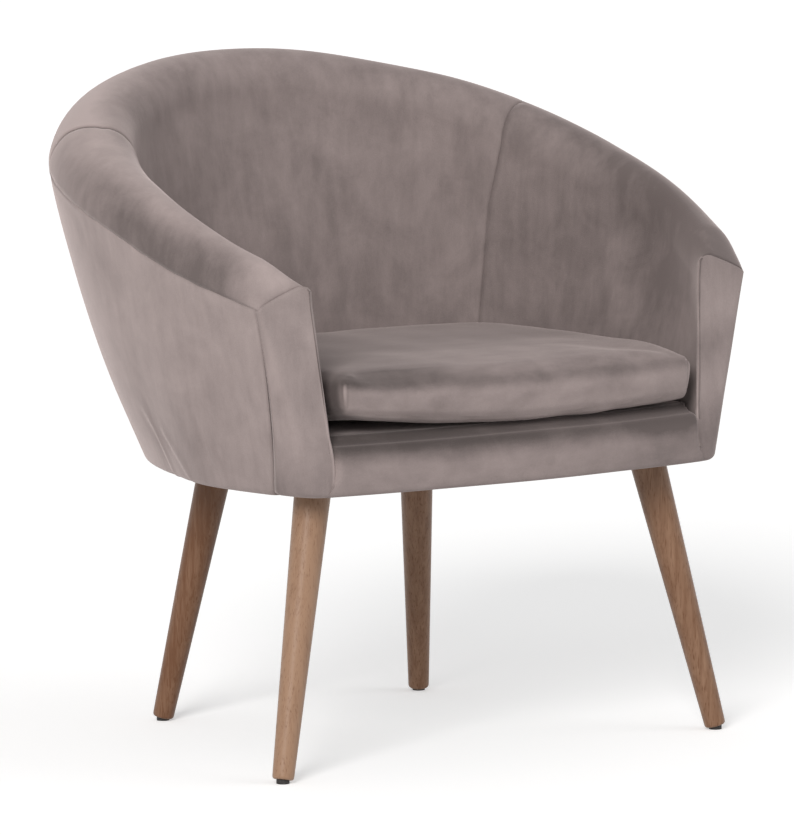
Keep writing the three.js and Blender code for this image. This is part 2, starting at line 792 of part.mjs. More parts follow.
// Facing on the front end of an arm: across the front, round the corner and back to the side seam
function facingRow(height, inset, topShare) {
  const share = Math.min(Math.max((height - undersideHeight) / ridgeRiseTip, 0), 1);
  const side = outerInset(0, height) + inset;
  const inner = wallInset(0, height);
  const round = Math.min(mix(facingCornerRound, facingTopRound, share), facingRoundShare * (inner - side));
  const tipRidge = undersideHeight + ridgeRiseTip;
  const front = (across) => {
    const level = height + topShare * (facingTopHeight(across * armFrontInnerInset) - tipRidge);
    const p = place(0, mix(side, wallInset(0, level), across), level);
    return new THREE.Vector3(p.x, p.y + inset, level);
  };
  const along = (u) => place(u, outerInset(u, height) + inset, height);
  const corner = front(0);
  const turnShare = round / (inner - side);
  const start = front(turnShare);
  const end = along((inset + round) / armLength);
  const points = facingShares.map((t) => front(mix(1, turnShare, t)));
  for (const t of [0.3, 0.6, 1]) {
    const hold = 2 * t * (1 - t);
    const p = start.clone().multiplyScalar((1 - t) ** 2).addScaledVector(corner, hold).addScaledVector(end, t * t);
    points.push(p);
  }
  points.push(along(Math.max(wrapStation(height), (inset + round + facingTopRound) / armLength)));
  return points;
}

// Top edge of the facing, along the section of the band at the arm tip
function facingTopHeight(inset) {
  const line = innerSection(0, railTop);
  const next = Math.max(1, line.findIndex(([n]) => n >= inset));
  const [[n0, z0], [n1, z1]] = [line[next - 1], line[next]];
  return mix(z0, z1, Math.min(Math.max((inset - n0) / (n1 - n0), 0), 1));
}

function facing() {
  const top = undersideHeight + ridgeRiseTip;
  const rows = [facingRow(undersideHeight, edgeRound + facingHem, 0)];
  for (const t of roundShares) {
    rows.push(facingRow(undersideHeight + edgeRound * t * t, edgeRound * (1 - t) ** 2, 0));
  }
  for (const t of [0.35, 0.7, 0.9, 1]) {
    const height = mix(undersideHeight + edgeRound, top, t);
    rows.push(facingRow(height, 0, t));
  }
  return sheet(rows, sunk(rows, -coverThickness));
}

// Cushion: plan outline from the middle of the front, round the right side to the back and on
function cushionOutline() {
  const sideInset = (u) => keyed(seatInsets, u) + cushionClearance;
  const sidePoint = (u) => place(u, sideInset(u), deckTop);
  const corner = sidePoint(0);
  const front = footprintShift - armLength - cushionFrontAhead;
  const line = (x) => front + cushionFrontBow * (x / corner.x) ** 2;
  const tip = new THREE.Vector2(corner.x, line(corner.x));
  const right = [0, 0.35, 0.7].map((share) => {
    const x = share * (corner.x - cushionCornerRound);
    return new THREE.Vector2(x, line(x));
  });
  const start = new THREE.Vector2(tip.x - cushionCornerRound, line(tip.x - cushionCornerRound));
  const end = new THREE.Vector2(tip.x, tip.y + cushionCornerRound);
  for (const t of [0, 0.5, 1]) {
    const a = start.clone().multiplyScalar((1 - t) ** 2);
    right.push(a.addScaledVector(tip, 2 * t * (1 - t)).addScaledVector(end, t * t));
  }
  for (const u of cushionStationShares) {
    const p = sidePoint(u);
    right.push(new THREE.Vector2(p.x, p.y));
  }
  const left = right.slice(1, -1).reverse().map((p) => new THREE.Vector2(-p.x, p.y));
  return [...right, ...left];
}

// Rings of the cushion from the middle of its bottom to the middle of its top
function cushionRings(depth) {
  const outline = cushionOutline();
  const bottom = deckTop + fitGap;
  const middle = new THREE.Vector2(0, outline.reduce((sum, p) => sum + p.y, 0) / outline.length);
  const count = outline.length;
  const drawn = (inset) =>
    outline.map((p, k) => {
      const run = outline[(k + 1) % count].clone().sub(outline[(k + count - 1) % count]).normalize();
      return new THREE.Vector2(p.x - run.y * (inset + depth), p.y + run.x * (inset + depth));
    });
  const scaled = (share) => drawn(0).map((p) => middle.clone().lerp(p, share));
  const level = (points, rise) => {
    const height = rise < cushionHeight / 2 ? Math.max(rise, depth) : rise - depth;
    return points.map((p) => new THREE.Vector3(p.x, p.y, bottom + height));
  };
  const rings = cushionBottomShares.map((share) => level(scaled(share), 0));
  for (const [inset, rise] of cushionEdgeShares) {
    rings.push(level(drawn(inset * cushionDrawIn), rise * cushionHeight));
  }
  for (const [share, rise] of cushionCrownShares) rings.push(level(scaled(share), rise * cushionHeight));
  const bottomMiddle = new THREE.Vector3(middle.x, middle.y, bottom + depth);
  const topMiddle = new THREE.Vector3(middle.x, middle.y, bottom + cushionHeight - depth);
  return { rings, bottomMiddle, topMiddle };
}

// Faces over the rings, leaving out the quads that the test names
function ringFaces({ rings, bottomMiddle, topMiddle }, open = () => false) {
  const count = rings[0].length;
  const points = [...rings.flat(), bottomMiddle, topMiddle];
  const [low, high] = [points.length - 2, points.length - 1];
  const lastRing = (rings.length - 1) * count;
  const faces = [];
  for (let k = 0; k < count; k++) {
    const next = (k + 1) % count;
    faces.push([low, next, k], [high, lastRing + k, lastRing + next]);
    for (let i = 0; i < rings.length - 1; i++) {
      const [a, b] = [i * count + k, i * count + next];
      if (!open(i, k)) faces.push([a, b, b + count], [a, b + count, a + count]);
    }
  }
  return { points, faces };
}

function cushionCover(zipColumns) {
  const open = (i, k) => i === zipBand && k >= zipColumns[0] && k < zipColumns[1];
  const outer = ringFaces(cushionRings(0), open);
  const inner = ringFaces(cushionRings(cushionClothThickness), open);
  const shift = outer.points.length;
  const faces = [...outer.faces, ...inner.faces.map(([a, b, c]) => [a + shift, c + shift, b + shift])];
  const count = cushionOutline().length;
  const rim = [];
  for (let k = zipColumns[0]; k <= zipColumns[1]; k++) rim.push(zipBand * count + k);
  for (let k = zipColumns[1]; k >= zipColumns[0]; k--) rim.push((zipBand + 1) * count + k);
  rim.forEach((a, k) => {
    const b = rim[(k + 1) % rim.length];
    faces.push([a, b, b + shift], [a, b + shift, a + shift]);
  });
  return bodyFrom([...outer.points, ...inner.points], faces);
}

// The zip fills the slot in the cover's back wall
function cushionZip(zipColumns) {
  const outer = cushionRings(zipThickness / 4).rings;
  const inner = cushionRings(cushionClothThickness).rings;
  const rings = [];
  for (let k = zipColumns[0]; k <= zipColumns[1]; k++) {
    const [a, b] = [outer[zipBand][k], outer[zipBand + 1][k]];
    const [c, d] = [inner[zipBand][k], inner[zipBand + 1][k]];
    const lift = (p, way) => new THREE.Vector3(p.x, p.y, p.z + way * fitGap);
    rings.push([lift(a, 1), lift(b, -1), lift(d, -1), lift(c, 1)]);
  }
  const draw = (ring, to) => ring.map((p, k) => p.clone().lerp(to[k], 0.02));
  rings[0] = draw(rings[0], rings[1]);
  rings[rings.length - 1] = draw(rings[rings.length - 1], rings[rings.length - 2]);
  return loft(rings);
}

function addCushion() {
  const first = cushionFrontPoints + cushionStationShares.indexOf(zipStationShare);
  const zipColumns = [first, cushionOutline().length - first];
  addPart('cushion_cover', cushionCover(zipColumns), seatVelvet);
  const core = ringFaces(cushionRings(cushionClothThickness + fitGap));
  addPart('cushion_foam_core', bodyFrom(core.points, core.faces), foam);
  addPart('cushion_zip', cushionZip(zipColumns), blackCloth);
}

// Legs: a tapered turned leg on a splayed axis, sawn level at the top and square at the foot
function legFrame(side, end) {
  const front = end === 'front';
  const head = new THREE.Vector3(armSpread - armFlare - footInsetTip - frontLegInset, 0, undersideHeight);
  head.y = footprintShift - armLength + frontLegSetback;
  if (!front) {
    const inset = keyed(footInsets, rearLegStationShare) + rearLegInset;
    head.copy(place(rearLegStationShare, inset, undersideHeight));
  }
  head.x *= side;
  const splayOut = side * (front ? frontSplayOut : rearSplayOut);
  const foot = new THREE.Vector3(head.x + splayOut, head.y + (front ? -frontSplayAhead : rearSplayBack), 0);
  const axis = head.clone().sub(foot).normalize();
  const lean = Math.hypot(axis.x, axis.y);
  const endHeight = glideThickness + fitGap + glideRadius * (lean / axis.z) + fitGap;
  const start = foot.clone().addScaledVector(axis, endHeight / axis.z);
  const e1 = new THREE.Vector3(-axis.y, axis.x, 0).normalize();
  const e2 = axis.clone().cross(e1);
  const name = `${end}_${side < 0 ? 'left' : 'right'}`;
  const length = head.distanceTo(start);
  return { name, head, axis, start, e1, e2, length, blockTurn: front ? 0 : Math.atan2(axis.y, axis.x) };
}

// A ring round the leg's axis, at a distance along it, or where the axis frame meets a level
function legRing(leg, distance, radius, sides) {
  return Array.from({ length: sides }, (_, k) => {
    const turn = (k / sides) * 2 * Math.PI;
    const out = leg.e1.clone().multiplyScalar(Math.cos(turn)).addScaledVector(leg.e2, Math.sin(turn));
    return leg.start.clone().addScaledVector(leg.axis, distance).addScaledVector(out, radius);
  });
}

function legBody(leg) {
  const taper = (legTopRadius - legFootRadius) / leg.length;
  const radiusAt = (distance) => legFootRadius + taper * distance;
  const rings = [legRing(leg, 0, legFootRadius - legEndRound, legSides)];
  rings.push(legRing(leg, legEndRound * 0.3, legFootRadius - legEndRound * 0.3, legSides));
  rings.push(legRing(leg, legEndRound, radiusAt(legEndRound), legSides));
  rings.push(legRing(leg, leg.length / 2, radiusAt(leg.length / 2), legSides));
  const low = legRing(leg, leg.length / 2, radiusAt(leg.length / 2), legSides);
  const high = legRing(leg, leg.length, legTopRadius, legSides);
  const top = seatFloor - fitGap;
  rings.push(low.map((p, k) => p.clone().lerp(high[k], (top - p.z) / (high[k].z - p.z))));
  return cut(loft(rings), boltHole(leg));
}

function boltBody(leg, radius, spare) {
  const start = leg.length - boltInLeg - spare;
  const end = leg.length + (railBottom - undersideHeight + boltInBlock) / leg.axis.z + spare;
  return loft([legRing(leg, start, radius, boltSides), legRing(leg, end, radius, boltSides)]);
}

const boltHole = (leg) => boltBody(leg, boltRadius + fitGap, fitGap);

function squareAt(centre, half, turn, chamfer) {
  const points = [];
  for (let k = 0; k < 4; k++) {
    const [cos, sin] = [Math.cos(turn + (k * Math.PI) / 2), Math.sin(turn + (k * Math.PI) / 2)];
    for (const [a, b] of [[half, -half + chamfer], [half, half - chamfer]]) {
      points.push(new THREE.Vector2(centre.x + a * cos - b * sin, centre.y + a * sin + b * cos));
    }
  }
  return points;
}

function plateRecess(leg) {
  const outline = squareAt(leg.head, plateWidth / 2 + fitGap, 0, plateCorner);
  return plate(outline, seatFloor - plateThickness, seatFloor + plateThickness + fitGap);
}

function legPlate(leg) {
  const outline = squareAt(leg.head, plateWidth / 2, 0, plateCorner);
  return cut(plate(outline, seatFloor, seatFloor + plateThickness), boltHole(leg));
}

function legBlock(leg) {
  const rise = (railBottom - undersideHeight) / leg.axis.z;
  const centre = leg.head.clone().addScaledVector(leg.axis, rise);
  const outline = squareAt(centre, blockWidth / 2, leg.blockTurn, blockChamfer);
  return cut(plate(outline, railBottom, railTop), boltHole(leg));
}

// A rubber glide, level on the floor and cut to lie along the square end of the leg
function legGlide(leg) {
  const ring = ellipseAt(leg.start, glideRadius, glideSides);
  const top = (p) => {
    const offset = leg.axis.x * (p.x - leg.start.x) + leg.axis.y * (p.y - leg.start.y);
    return leg.start.z - (offset + fitGap) / leg.axis.z;
  };
  const bottomRing = ring.map((p) => new THREE.Vector3(p.x, p.y, 0));
  const topRing = ring.map((p) => new THREE.Vector3(p.x, p.y, top(p)));
  return loft([bottomRing, topRing]);
}

function addLegs() {
  for (const leg of legs) {
    addPart(`leg_${leg.name}`, legBody(leg), beech);
    addPart(`leg_bolt_${leg.name}`, boltBody(leg, boltRadius, 0), steel);
    addPart(`leg_plate_${leg.name}`, legPlate(leg), steel);
    addPart(`leg_block_${leg.name}`, legBlock(leg), frameTimber);
    addPart(`leg_glide_${leg.name}`, legGlide(leg), darkRubber);
  }
}

const legs = ['front', 'rear'].flatMap((end) => [-1, 1].map((side) => legFrame(side, end)));

addCovers();
addShellFrame();
addSeatFrame();
addDeck();
addBorder();
addPair('arm_facing', facing(), velvet);
addCushion();
addLegs();

export default group;
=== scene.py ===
"""The looks of the velvet tub chair, built round its CAD frame. Metres, +Z up, the sitter faces -Y."""

import math

import bmesh
import bpy
import numpy as np
from bpy.props import FloatProperty, FloatVectorProperty, PointerProperty
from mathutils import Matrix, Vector
from mathutils.bvhtree import BVHTree
from mathutils.geometry import tessellate_polygon


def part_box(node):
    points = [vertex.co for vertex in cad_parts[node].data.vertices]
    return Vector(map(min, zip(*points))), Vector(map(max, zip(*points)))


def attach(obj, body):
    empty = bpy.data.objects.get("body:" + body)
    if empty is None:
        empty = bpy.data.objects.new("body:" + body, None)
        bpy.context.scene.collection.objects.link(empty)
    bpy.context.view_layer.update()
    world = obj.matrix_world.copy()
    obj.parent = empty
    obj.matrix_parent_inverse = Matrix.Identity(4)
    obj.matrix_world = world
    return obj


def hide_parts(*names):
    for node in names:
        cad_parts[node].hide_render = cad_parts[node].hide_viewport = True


bl_info = {
    "name": "Velvet tub chair",
    "version": (1, 0, 0),
    "blender": (4, 5, 0),
    "location": "3D View > Sidebar > Tub chair",
    "description": "Upholsters and finishes the tub chair round its CAD frame, and sets up a studio for it",
    "category": "Object",
}

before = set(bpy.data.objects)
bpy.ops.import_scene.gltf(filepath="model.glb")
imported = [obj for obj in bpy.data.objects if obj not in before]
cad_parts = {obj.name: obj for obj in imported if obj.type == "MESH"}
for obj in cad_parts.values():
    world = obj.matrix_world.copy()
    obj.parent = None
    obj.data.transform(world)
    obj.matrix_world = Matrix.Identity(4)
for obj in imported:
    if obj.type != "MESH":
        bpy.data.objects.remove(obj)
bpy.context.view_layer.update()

# The body's plan and heights: the solids' sizes, with the rim fitted a little closer
ARM_SPREAD = 0.3767
ARM_FLARE = 0.0386
ARM_LENGTH = 0.2517
BACK_REACH = 0.3564
FLARE_SHARE = 2.29
CORNER_FULL = 0.019
FOOTPRINT_SHIFT = -0.02905
UNDERSIDE = 0.318
DECK_TOP = 0.384
RIM_RISES = (0.2502, 0.2997, 0.340, 0.4155, 0.4478)
RIDGE_RISES = (0.2107, 0.2447, 0.2857, 0.3481, 0.3831)
CREST_INSETS = (0.0385, 0.0384, 0.0463, 0.0632, 0.0484)
INNER_INSETS = (0.0669, 0.0533, 0.0818, 0.103, 0.0944)
SEAT_INSETS = (0.082, 0.101, 0.111, 0.1395, 0.175)
FOOT_INSETS = (0.058, 0.0524, 0.087, 0.1145, 0.120)
PANEL_BULGES = (0.0, 0.0021, 0.0052, 0.0102, 0.0075)
TIP_RISE, TIP_CREST, TIP_INNER, TIP_ROLL = 0.2344, 0.0531, 0.0683, 0.0065
TIP_SHARE, TIP_FLAT, TIP_BEND = 0.1465, 0.75, 2.1
ROLL_DEPTH = 0.048
EDGE_ROUND = 0.008
HEM = 0.026
FACING_LEAN = 0.022
# How much the facing turns outwards, and how far its turn and its lean reach, in stations
FACING_TURN, TURN_REACH, LEAN_REACH = -0.05, 0.3, 0.5
# The facing's hem, the rounding of its corner at foot and top, and the width it may take
FACING_HEM, FACING_ROUNDS, ROUND_SHARE = (0.015, 0.0075), (0.014, 0.003), 0.6
# How far round the corner the facing reaches at foot and top, and how its edge bows
WRAP_FOOT, WRAP_TOP, WRAP_BOW = 0.040, 0.0045, 0.008
SEAM_STATION = 1.3
BORDER_FRONT = 0.2983
BORDER_BOW = 0.0205
BORDER_TOP = 0.374
CLOTH = 0.002
REAR_EDGE_ROUND = 0.005
BAND_BOTTOM = 0.3668
# Lengths of the ridge seen from above: along an arm, and from its elbow to the back's middle
ARM_RUN = 0.255
BACK_RUN = 0.572
# The hairline between two covers, as half of it in stations, and the gap beside a facing
HALF_GAP = 0.0001
FACING_GAP = 0.0004
ARM_ROWS, BACK_ROWS = 104, 156
# Points over the band: up to its crest, over its roll, down the wall and behind the cushion
CREST_STEPS, ROLL_STEPS, WALL_STEPS, FOOT_STEPS = 17, 15, 52, 4
RIM_COLUMNS = CREST_STEPS + ROLL_STEPS - 1
BAND_COLUMNS = RIM_COLUMNS + WALL_STEPS + FOOT_STEPS - 2
# The seam between arm and back: columns of the band, and how far it strays from its station there
RIM_SEAM_COLUMNS = (0, 8, 16, 30, 45, 81, 84)
RIM_SEAM_STRAYS = (0.05, 0.02, -0.04, -0.03, 0.002, 0.018, 0.018)
MIRROR = np.array([-1, 1, 1])
FULL_TURN = 6.2832


# Curves of the body


def keyed(values, station):
    """A smooth value along half the body: station 0 is the arm tip, 1 the elbow, 2 the back's middle."""
    v = np.asarray(values, float)
    at = run_length(np.linspace(0, 2, len(v)))
    gaps = np.diff(at)
    slopes = np.diff(v) / gaps
    inner = (slopes[:-1] * gaps[1:] + slopes[1:] * gaps[:-1]) / (gaps[1:] + gaps[:-1])
    slope = np.concatenate([[1.5 * slopes[0] - 0.5 * inner[0]], inner, [0.0]])
    along = run_length(np.clip(station, 0, 2))
    k = np.clip(np.searchsorted(at, along, side="right") - 1, 0, len(gaps) - 1)
    t = (along - at[k]) / gaps[k]
    start = (2 * t**3 - 3 * t**2 + 1) * v[k] + (t**3 - 2 * t**2 + t) * gaps[k] * slope[k]
    return start + (3 * t**2 - 2 * t**3) * v[k + 1] + (t**3 - t**2) * gaps[k] * slope[k + 1]


def run_length(station):
    """Length of the ridge from the arm tip to a station, seen from above."""
    u = np.asarray(station, float)
    return np.minimum(u, 1) * ARM_RUN + np.maximum(u - 1, 0) * BACK_RUN


def ease(t):
    k = np.clip(t, 0, 1)
    return k * k * (3 - 2 * k)


def mix(a, b, t):
    return a + (b - a) * t


def unit(v):
    return v / np.maximum(np.linalg.norm(v, axis=-1, keepdims=True), 1e-12)


def place(station, inset, height, way=1.0):
    """Points of the body from their station, their inset from the ridge and their height."""
    u = np.asarray(station, float)
    ahead = np.clip(1 - u, 0, None)
    turn = np.clip(u - 1, 0, None) * math.pi / 2
    arm = u <= 1
    full = 1 + CORNER_FULL * np.sin(2 * turn) ** 2
    growth = 2 * CORNER_FULL * np.sin(4 * turn)
    sin, cos = np.sin(turn), np.cos(turn)
    x = np.where(arm, ARM_SPREAD - ARM_FLARE * ahead**FLARE_SHARE, ARM_SPREAD * cos * full)
    y = np.where(arm, -ARM_LENGTH * ahead, BACK_REACH * sin * full)
    flare = FLARE_SHARE * ARM_FLARE * ahead ** (FLARE_SHARE - 1)
    run_x = np.where(arm, flare, ARM_SPREAD * (cos * growth - sin * full))
    run_y = np.where(arm, ARM_LENGTH, BACK_REACH * (sin * growth + cos * full))
    inward = unit(np.stack([-run_y, run_x], -1))
    facing = unit(np.array([-1, FACING_TURN]))
    inward = unit(mix(inward, facing, (1 - ease(u / TURN_REACH))[..., None]))
    ridge = UNDERSIDE + keyed(RIDGE_RISES, u)
    lean = FACING_LEAN / RIDGE_RISES[0] * ease(1 - u / LEAN_REACH) * np.clip(ridge - height, 0, None)
    px = x + inward[..., 0] * inset
    py = y + inward[..., 1] * inset - lean + FOOTPRINT_SHIFT
    return np.stack(np.broadcast_arrays(way * px, py, height), -1)


def outer_inset(station, height):
    share = np.clip((height - UNDERSIDE) / keyed(RIDGE_RISES, station), 0, 1)
    bulge = keyed(PANEL_BULGES, station) * 4 * share * (1 - share)
    return keyed(FOOT_INSETS, station) * (1 - share) - bulge


def rim_at(station):
    """Crest inset, inner inset, crest height, roll and flatness of the rolled rim."""
    tip = np.clip(1 - station / TIP_SHARE, 0, 1) ** TIP_BEND
    return (
        mix(keyed(CREST_INSETS, station), TIP_CREST, tip),
        mix(keyed(INNER_INSETS, station), TIP_INNER, tip),
        UNDERSIDE + mix(keyed(RIM_RISES, station), TIP_RISE, tip),
        mix(ROLL_DEPTH, TIP_ROLL, tip),
        tip * TIP_FLAT,
    )


def wall_inset(station, height):
    _, inner, crest, roll, _ = rim_at(station)
    share = np.clip((crest - roll - height) / (crest - roll - DECK_TOP), 0, 1)
    return mix(inner, keyed(SEAT_INSETS, station), share)


def band_section(station):
    """Insets and heights over the rolled band and down the inner wall, one row per station."""
    u = np.asarray(station, float)[:, None]
    crest_inset, inner, crest, roll, flat = rim_at(u)
    ridge = UNDERSIDE + keyed(RIDGE_RISES, u)
    turn = np.linspace(0, math.pi / 2, CREST_STEPS)[None]
    share = 1 - np.cos(turn)
    insets = [crest_inset * share]
    heights = [ridge + (crest - ridge) * mix(np.sin(turn), share, flat)]
    turn = np.linspace(0, math.pi / 2, ROLL_STEPS)[None, 1:]
    insets.append(crest_inset + (inner - crest_inset) * np.sin(turn))
    heights.append(crest - roll * (1 - np.cos(turn)))
    t = np.linspace(0, 1, WALL_STEPS)[None, 1:]
    bend = 0.06
    soft = (np.sqrt(t * t + bend * bend) - bend) / (math.sqrt(1 + bend * bend) - bend)
    heights.append(mix(crest - roll, DECK_TOP, t))
    insets.append(mix(inner, keyed(SEAT_INSETS, u), soft))
    t = np.linspace(0, 1, FOOT_STEPS)[None, 1:]
    heights.append(mix(DECK_TOP, BAND_BOTTOM, t) + 0 * u)
    insets.append(keyed(SEAT_INSETS, u) + 0 * t)
    return np.concatenate(insets, 1), np.concatenate(heights, 1)


def edge_round(station):
    """Radius of the lower edge, which is tighter round the back."""
    return mix(EDGE_ROUND, REAR_EDGE_ROUND, ease((station - 0.6) / 0.5))


def panel_section(station):
    """Insets and heights of the outside panel, from its hem under the body up to the ridge."""
    u = np.asarray(station, float)[:, None]
    foot = keyed(FOOT_INSETS, u)
    rounding = edge_round(u)
    round_top = UNDERSIDE + rounding
    ridge = UNDERSIDE + keyed(RIDGE_RISES, u)
    t = np.linspace(0, 1, 5)[None, :-1]
    insets = [foot + rounding + HEM * (1 - t) + (EDGE_ROUND - rounding) * (1 - t)]
    heights = [UNDERSIDE + 0 * t + 0 * u]
    t = np.linspace(0, 1, 10)[None]
    end = outer_inset(u, round_top)
    insets.append((1 - t) ** 2 * (foot + rounding) + 2 * t * (1 - t) * foot + t * t * end)
    heights.append(UNDERSIDE + rounding * t * t)
    t = np.linspace(0, 1, 56)[None, 1:]
    z = mix(round_top, ridge, t)
    insets.append(outer_inset(u, z))
    heights.append(z)
    return np.concatenate(insets, 1), np.concatenate(heights, 1)


def along_columns(section, stations):
    """Insets and heights of a section whose columns each follow their own stations."""
    insets, heights = np.empty(stations.shape), np.empty(stations.shape)
    for j in range(stations.shape[1]):
        inset, height = section(stations[:, j])
        insets[:, j], heights[:, j] = inset[:, j], height[:, j]
    return insets, heights


def rim_seam():
    """Station of the seam between arm and back, down the columns of the band's section."""
    return SEAM_STATION + np.interp(np.arange(BAND_COLUMNS), RIM_SEAM_COLUMNS, RIM_SEAM_STRAYS)


def back_rows(section, seam):
    """Rows of a cover over the back, from seam to seam, and where they lie across, inward and up."""
    across = (2 - seam - HALF_GAP) * np.linspace(1, -1, BACK_ROWS)[:, None]
    stations = 2 - np.abs(across)
    insets, heights = along_columns(section, stations)
    return place(stations, insets, heights, np.where(across < 0, -1.0, 1.0)), across, insets, heights


def fading_ridge(stations):
    """How much of the ridge's seam shows: all of it at the arm's front, a quarter behind."""
    return 1 - 0.75 * ease((stations - 0.5) / 0.4)


def waves(points, size, seed):
    """Soft seeded unevenness between about -1 and 1, with bumps of about the given size."""
    total = np.zeros(points.shape[:-1])
    for k in range(7):
        a, b, c = (math.sin(12.9898 * (seed + k) + s) * 43758.5453 % 1 for s in (0.0, 1.7, 3.9))
        turn, tilt = a * FULL_TURN, b * (FULL_TURN / 2)
        level = math.sin(tilt)
        way = np.array([math.cos(turn) * level, math.sin(turn) * level, math.cos(tilt)])
        total += np.sin(points @ way * (math.pi / size) * (0.7 + 0.6 * c) + FULL_TURN * c)
    return total / 3.2


def gap_valley(distance, width):
    """1 on a seam, falling softly to 0 beside it."""
    return np.exp(-((distance / width) ** 2))


# Meshes


def normals_of(rows):
    along = np.gradient(rows, axis=0)
    up = np.gradient(rows, axis=1)
    return unit(np.cross(along, up))


def lengths_along(rows, axis):
    """Distance from the first point along each row or column."""
    steps = np.linalg.norm(np.diff(rows, axis=axis), axis=-1)
    start = np.zeros_like(np.take(steps, [0], axis=axis))
    return np.concatenate([start, np.cumsum(steps, axis=axis)], axis=axis)


def smoothed(mesh):
    mesh.polygons.foreach_set("use_smooth", [True] * len(mesh.polygons))


def add_mask(mesh, key, values):
    attribute = mesh.attributes.new(key, "FLOAT", "POINT")
    attribute.data.foreach_set("value", np.asarray(values, np.float32).ravel())


def add_object(name, points, faces, masks=None):
    mesh = bpy.data.meshes.new(name)
    mesh.from_pydata([tuple(p) for p in points], [], [tuple(f) for f in faces])
    mesh.validate()
    smoothed(mesh)
    for key, values in (masks or {}).items():
        add_mask(mesh, key, values)
    mesh.update()
    piece = bpy.data.objects.new(name, mesh)
    bpy.context.scene.collection.objects.link(piece)
    return piece


def grid_faces(count, width, wrap=False):
    faces = []
    last = width if wrap else width - 1
    for i in range(count - 1):
        for j in range(last):
            k = (j + 1) % width
            faces.append((i * width + j, (i + 1) * width + j, (i + 1) * width + k, i * width + k))
    return faces


def closed_faces(rings, count):
    """Faces round a stack of rings of points, with a cap on its first and its last ring."""
    last = (rings - 1) * count
    caps = [tuple(range(count))[::-1], tuple(last + k for k in range(count))]
    return grid_faces(rings, count, wrap=True) + caps


def outward(piece):
    """Turns a closed mesh's faces so that they point out."""
    edit = bmesh.new()
    edit.from_mesh(piece.data)
    bmesh.ops.recalc_face_normals(edit, faces=edit.faces)
    edit.to_mesh(piece.data)
    edit.free()
    smoothed(piece.data)


def thicken(piece, thickness):
    """Adds the cloth's thickness on its inside."""
    solid = piece.modifiers.new("cloth thickness", "SOLIDIFY")
    solid.thickness = thickness
    solid.offset = -1


def cloth_from_rows(name, rows, masks, thickness=CLOTH):
    """A sewn cover from rows of points along it."""
    count, width = rows.shape[:2]
    piece = add_object(name, rows.reshape(-1, 3), grid_faces(count, width), masks)
    thicken(piece, thickness)
    return piece


def mirrored_rows(rows):
    return (rows * MIRROR)[::-1]


def dress(piece, finish, body, stands_for):
    """Gives a piece its finish, its body and the solids that it stands for."""
    piece.data.materials.clear()
    piece.data.materials.append(finish_named(finish))
    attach(piece, body)
    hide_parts(*stands_for)


def sew_cover(name, rows, mask, stroke, stands_for, finish="body velvet"):
    """A velvet cover of the body, in place of the solids that it stands for."""
    piece = cloth_from_rows(name, rows, {"seam": mask, "stroke": stroke})
    dress(piece, finish, "root", stands_for)


# Materials


def socket_of(sockets, name):
    return next(s for s in sockets if s.name == name and s.enabled)


class Tree:
    """Adds nodes to one node tree and joins them up."""

    def __init__(self, tree):
        self.tree = tree

    def node(self, kind, inputs=None, **settings):
        made = self.tree.nodes.new(kind)
        for key, value in settings.items():
            setattr(made, key, value)
        for key, value in (inputs or {}).items():
            target = made.inputs[key] if isinstance(key, int) else socket_of(made.inputs, key)
            if isinstance(value, bpy.types.NodeSocket):
                self.tree.links.new(value, target)
            else:
                target.default_value = value
        return made

    def join(self, output, target):
        self.tree.links.new(output, target)

    def math(self, operation, a, b=0.0, c=0.0, clamp=False):
        made = self.node("ShaderNodeMath", {0: a, 1: b, 2: c}, operation=operation, use_clamp=clamp)
        return made.outputs[0]

    def mixture(self, *parts):
        """The sum of values, each times its share."""
        total = None
        for value, share in parts:
            part = self.math("MULTIPLY", value, share)
            total = part if total is None else self.math("ADD", total, part)
        return total

    def blend(self, share, a, b):
        made = self.node("ShaderNodeMix", {"Factor": share, "A": a, "B": b}, data_type="RGBA")
        return socket_of(made.outputs, "Result")

    def ramp(self, value, low, high):
        made = self.node("ShaderNodeMapRange", {"Value": value, "From Min": low, "From Max": high})
        return made.outputs[0]

    def where(self):
        return self.node("ShaderNodeTexCoord").outputs["Object"]

    def stretched(self, where, stretch):
        made = self.node("ShaderNodeVectorMath", {0: where, 1: stretch}, operation="MULTIPLY")
        return made.outputs[0]

    def noise(self, where, scale, detail, roughness=0.5, distortion=0.0):
        inputs = {"Vector": where, "Scale": scale, "Detail": detail}
        inputs.update({"Roughness": roughness, "Distortion": distortion})
        return self.node("ShaderNodeTexNoise", inputs).outputs["Fac"]

    def mask(self, name):
        return self.node("ShaderNodeAttribute", attribute_name=name).outputs["Fac"]

    def bump(self, height, strength, distance):
        inputs = {"Strength": strength, "Distance": distance, "Height": height}
        return self.node("ShaderNodeBump", inputs).outputs[0]

    def seen(self):
        """1 where it is looked at, also in a reflection or through glass, and 0 where it only lights."""
        path = self.node("ShaderNodeLightPath").outputs
        seen = self.math("MAXIMUM", path["Is Camera Ray"], path["Is Glossy Ray"])
        return self.math("MAXIMUM", seen, path["Is Transmission Ray"])

    def principled(self, inputs):
        """The material's shader, joined to its output."""
        shader = self.node("ShaderNodeBsdfPrincipled", inputs).outputs[0]
        self.node("ShaderNodeOutputMaterial", {"Surface": shader})


SOCKET_KINDS = {1: "NodeSocketFloat", 3: "NodeSocketVector", 4: "NodeSocketColor"}


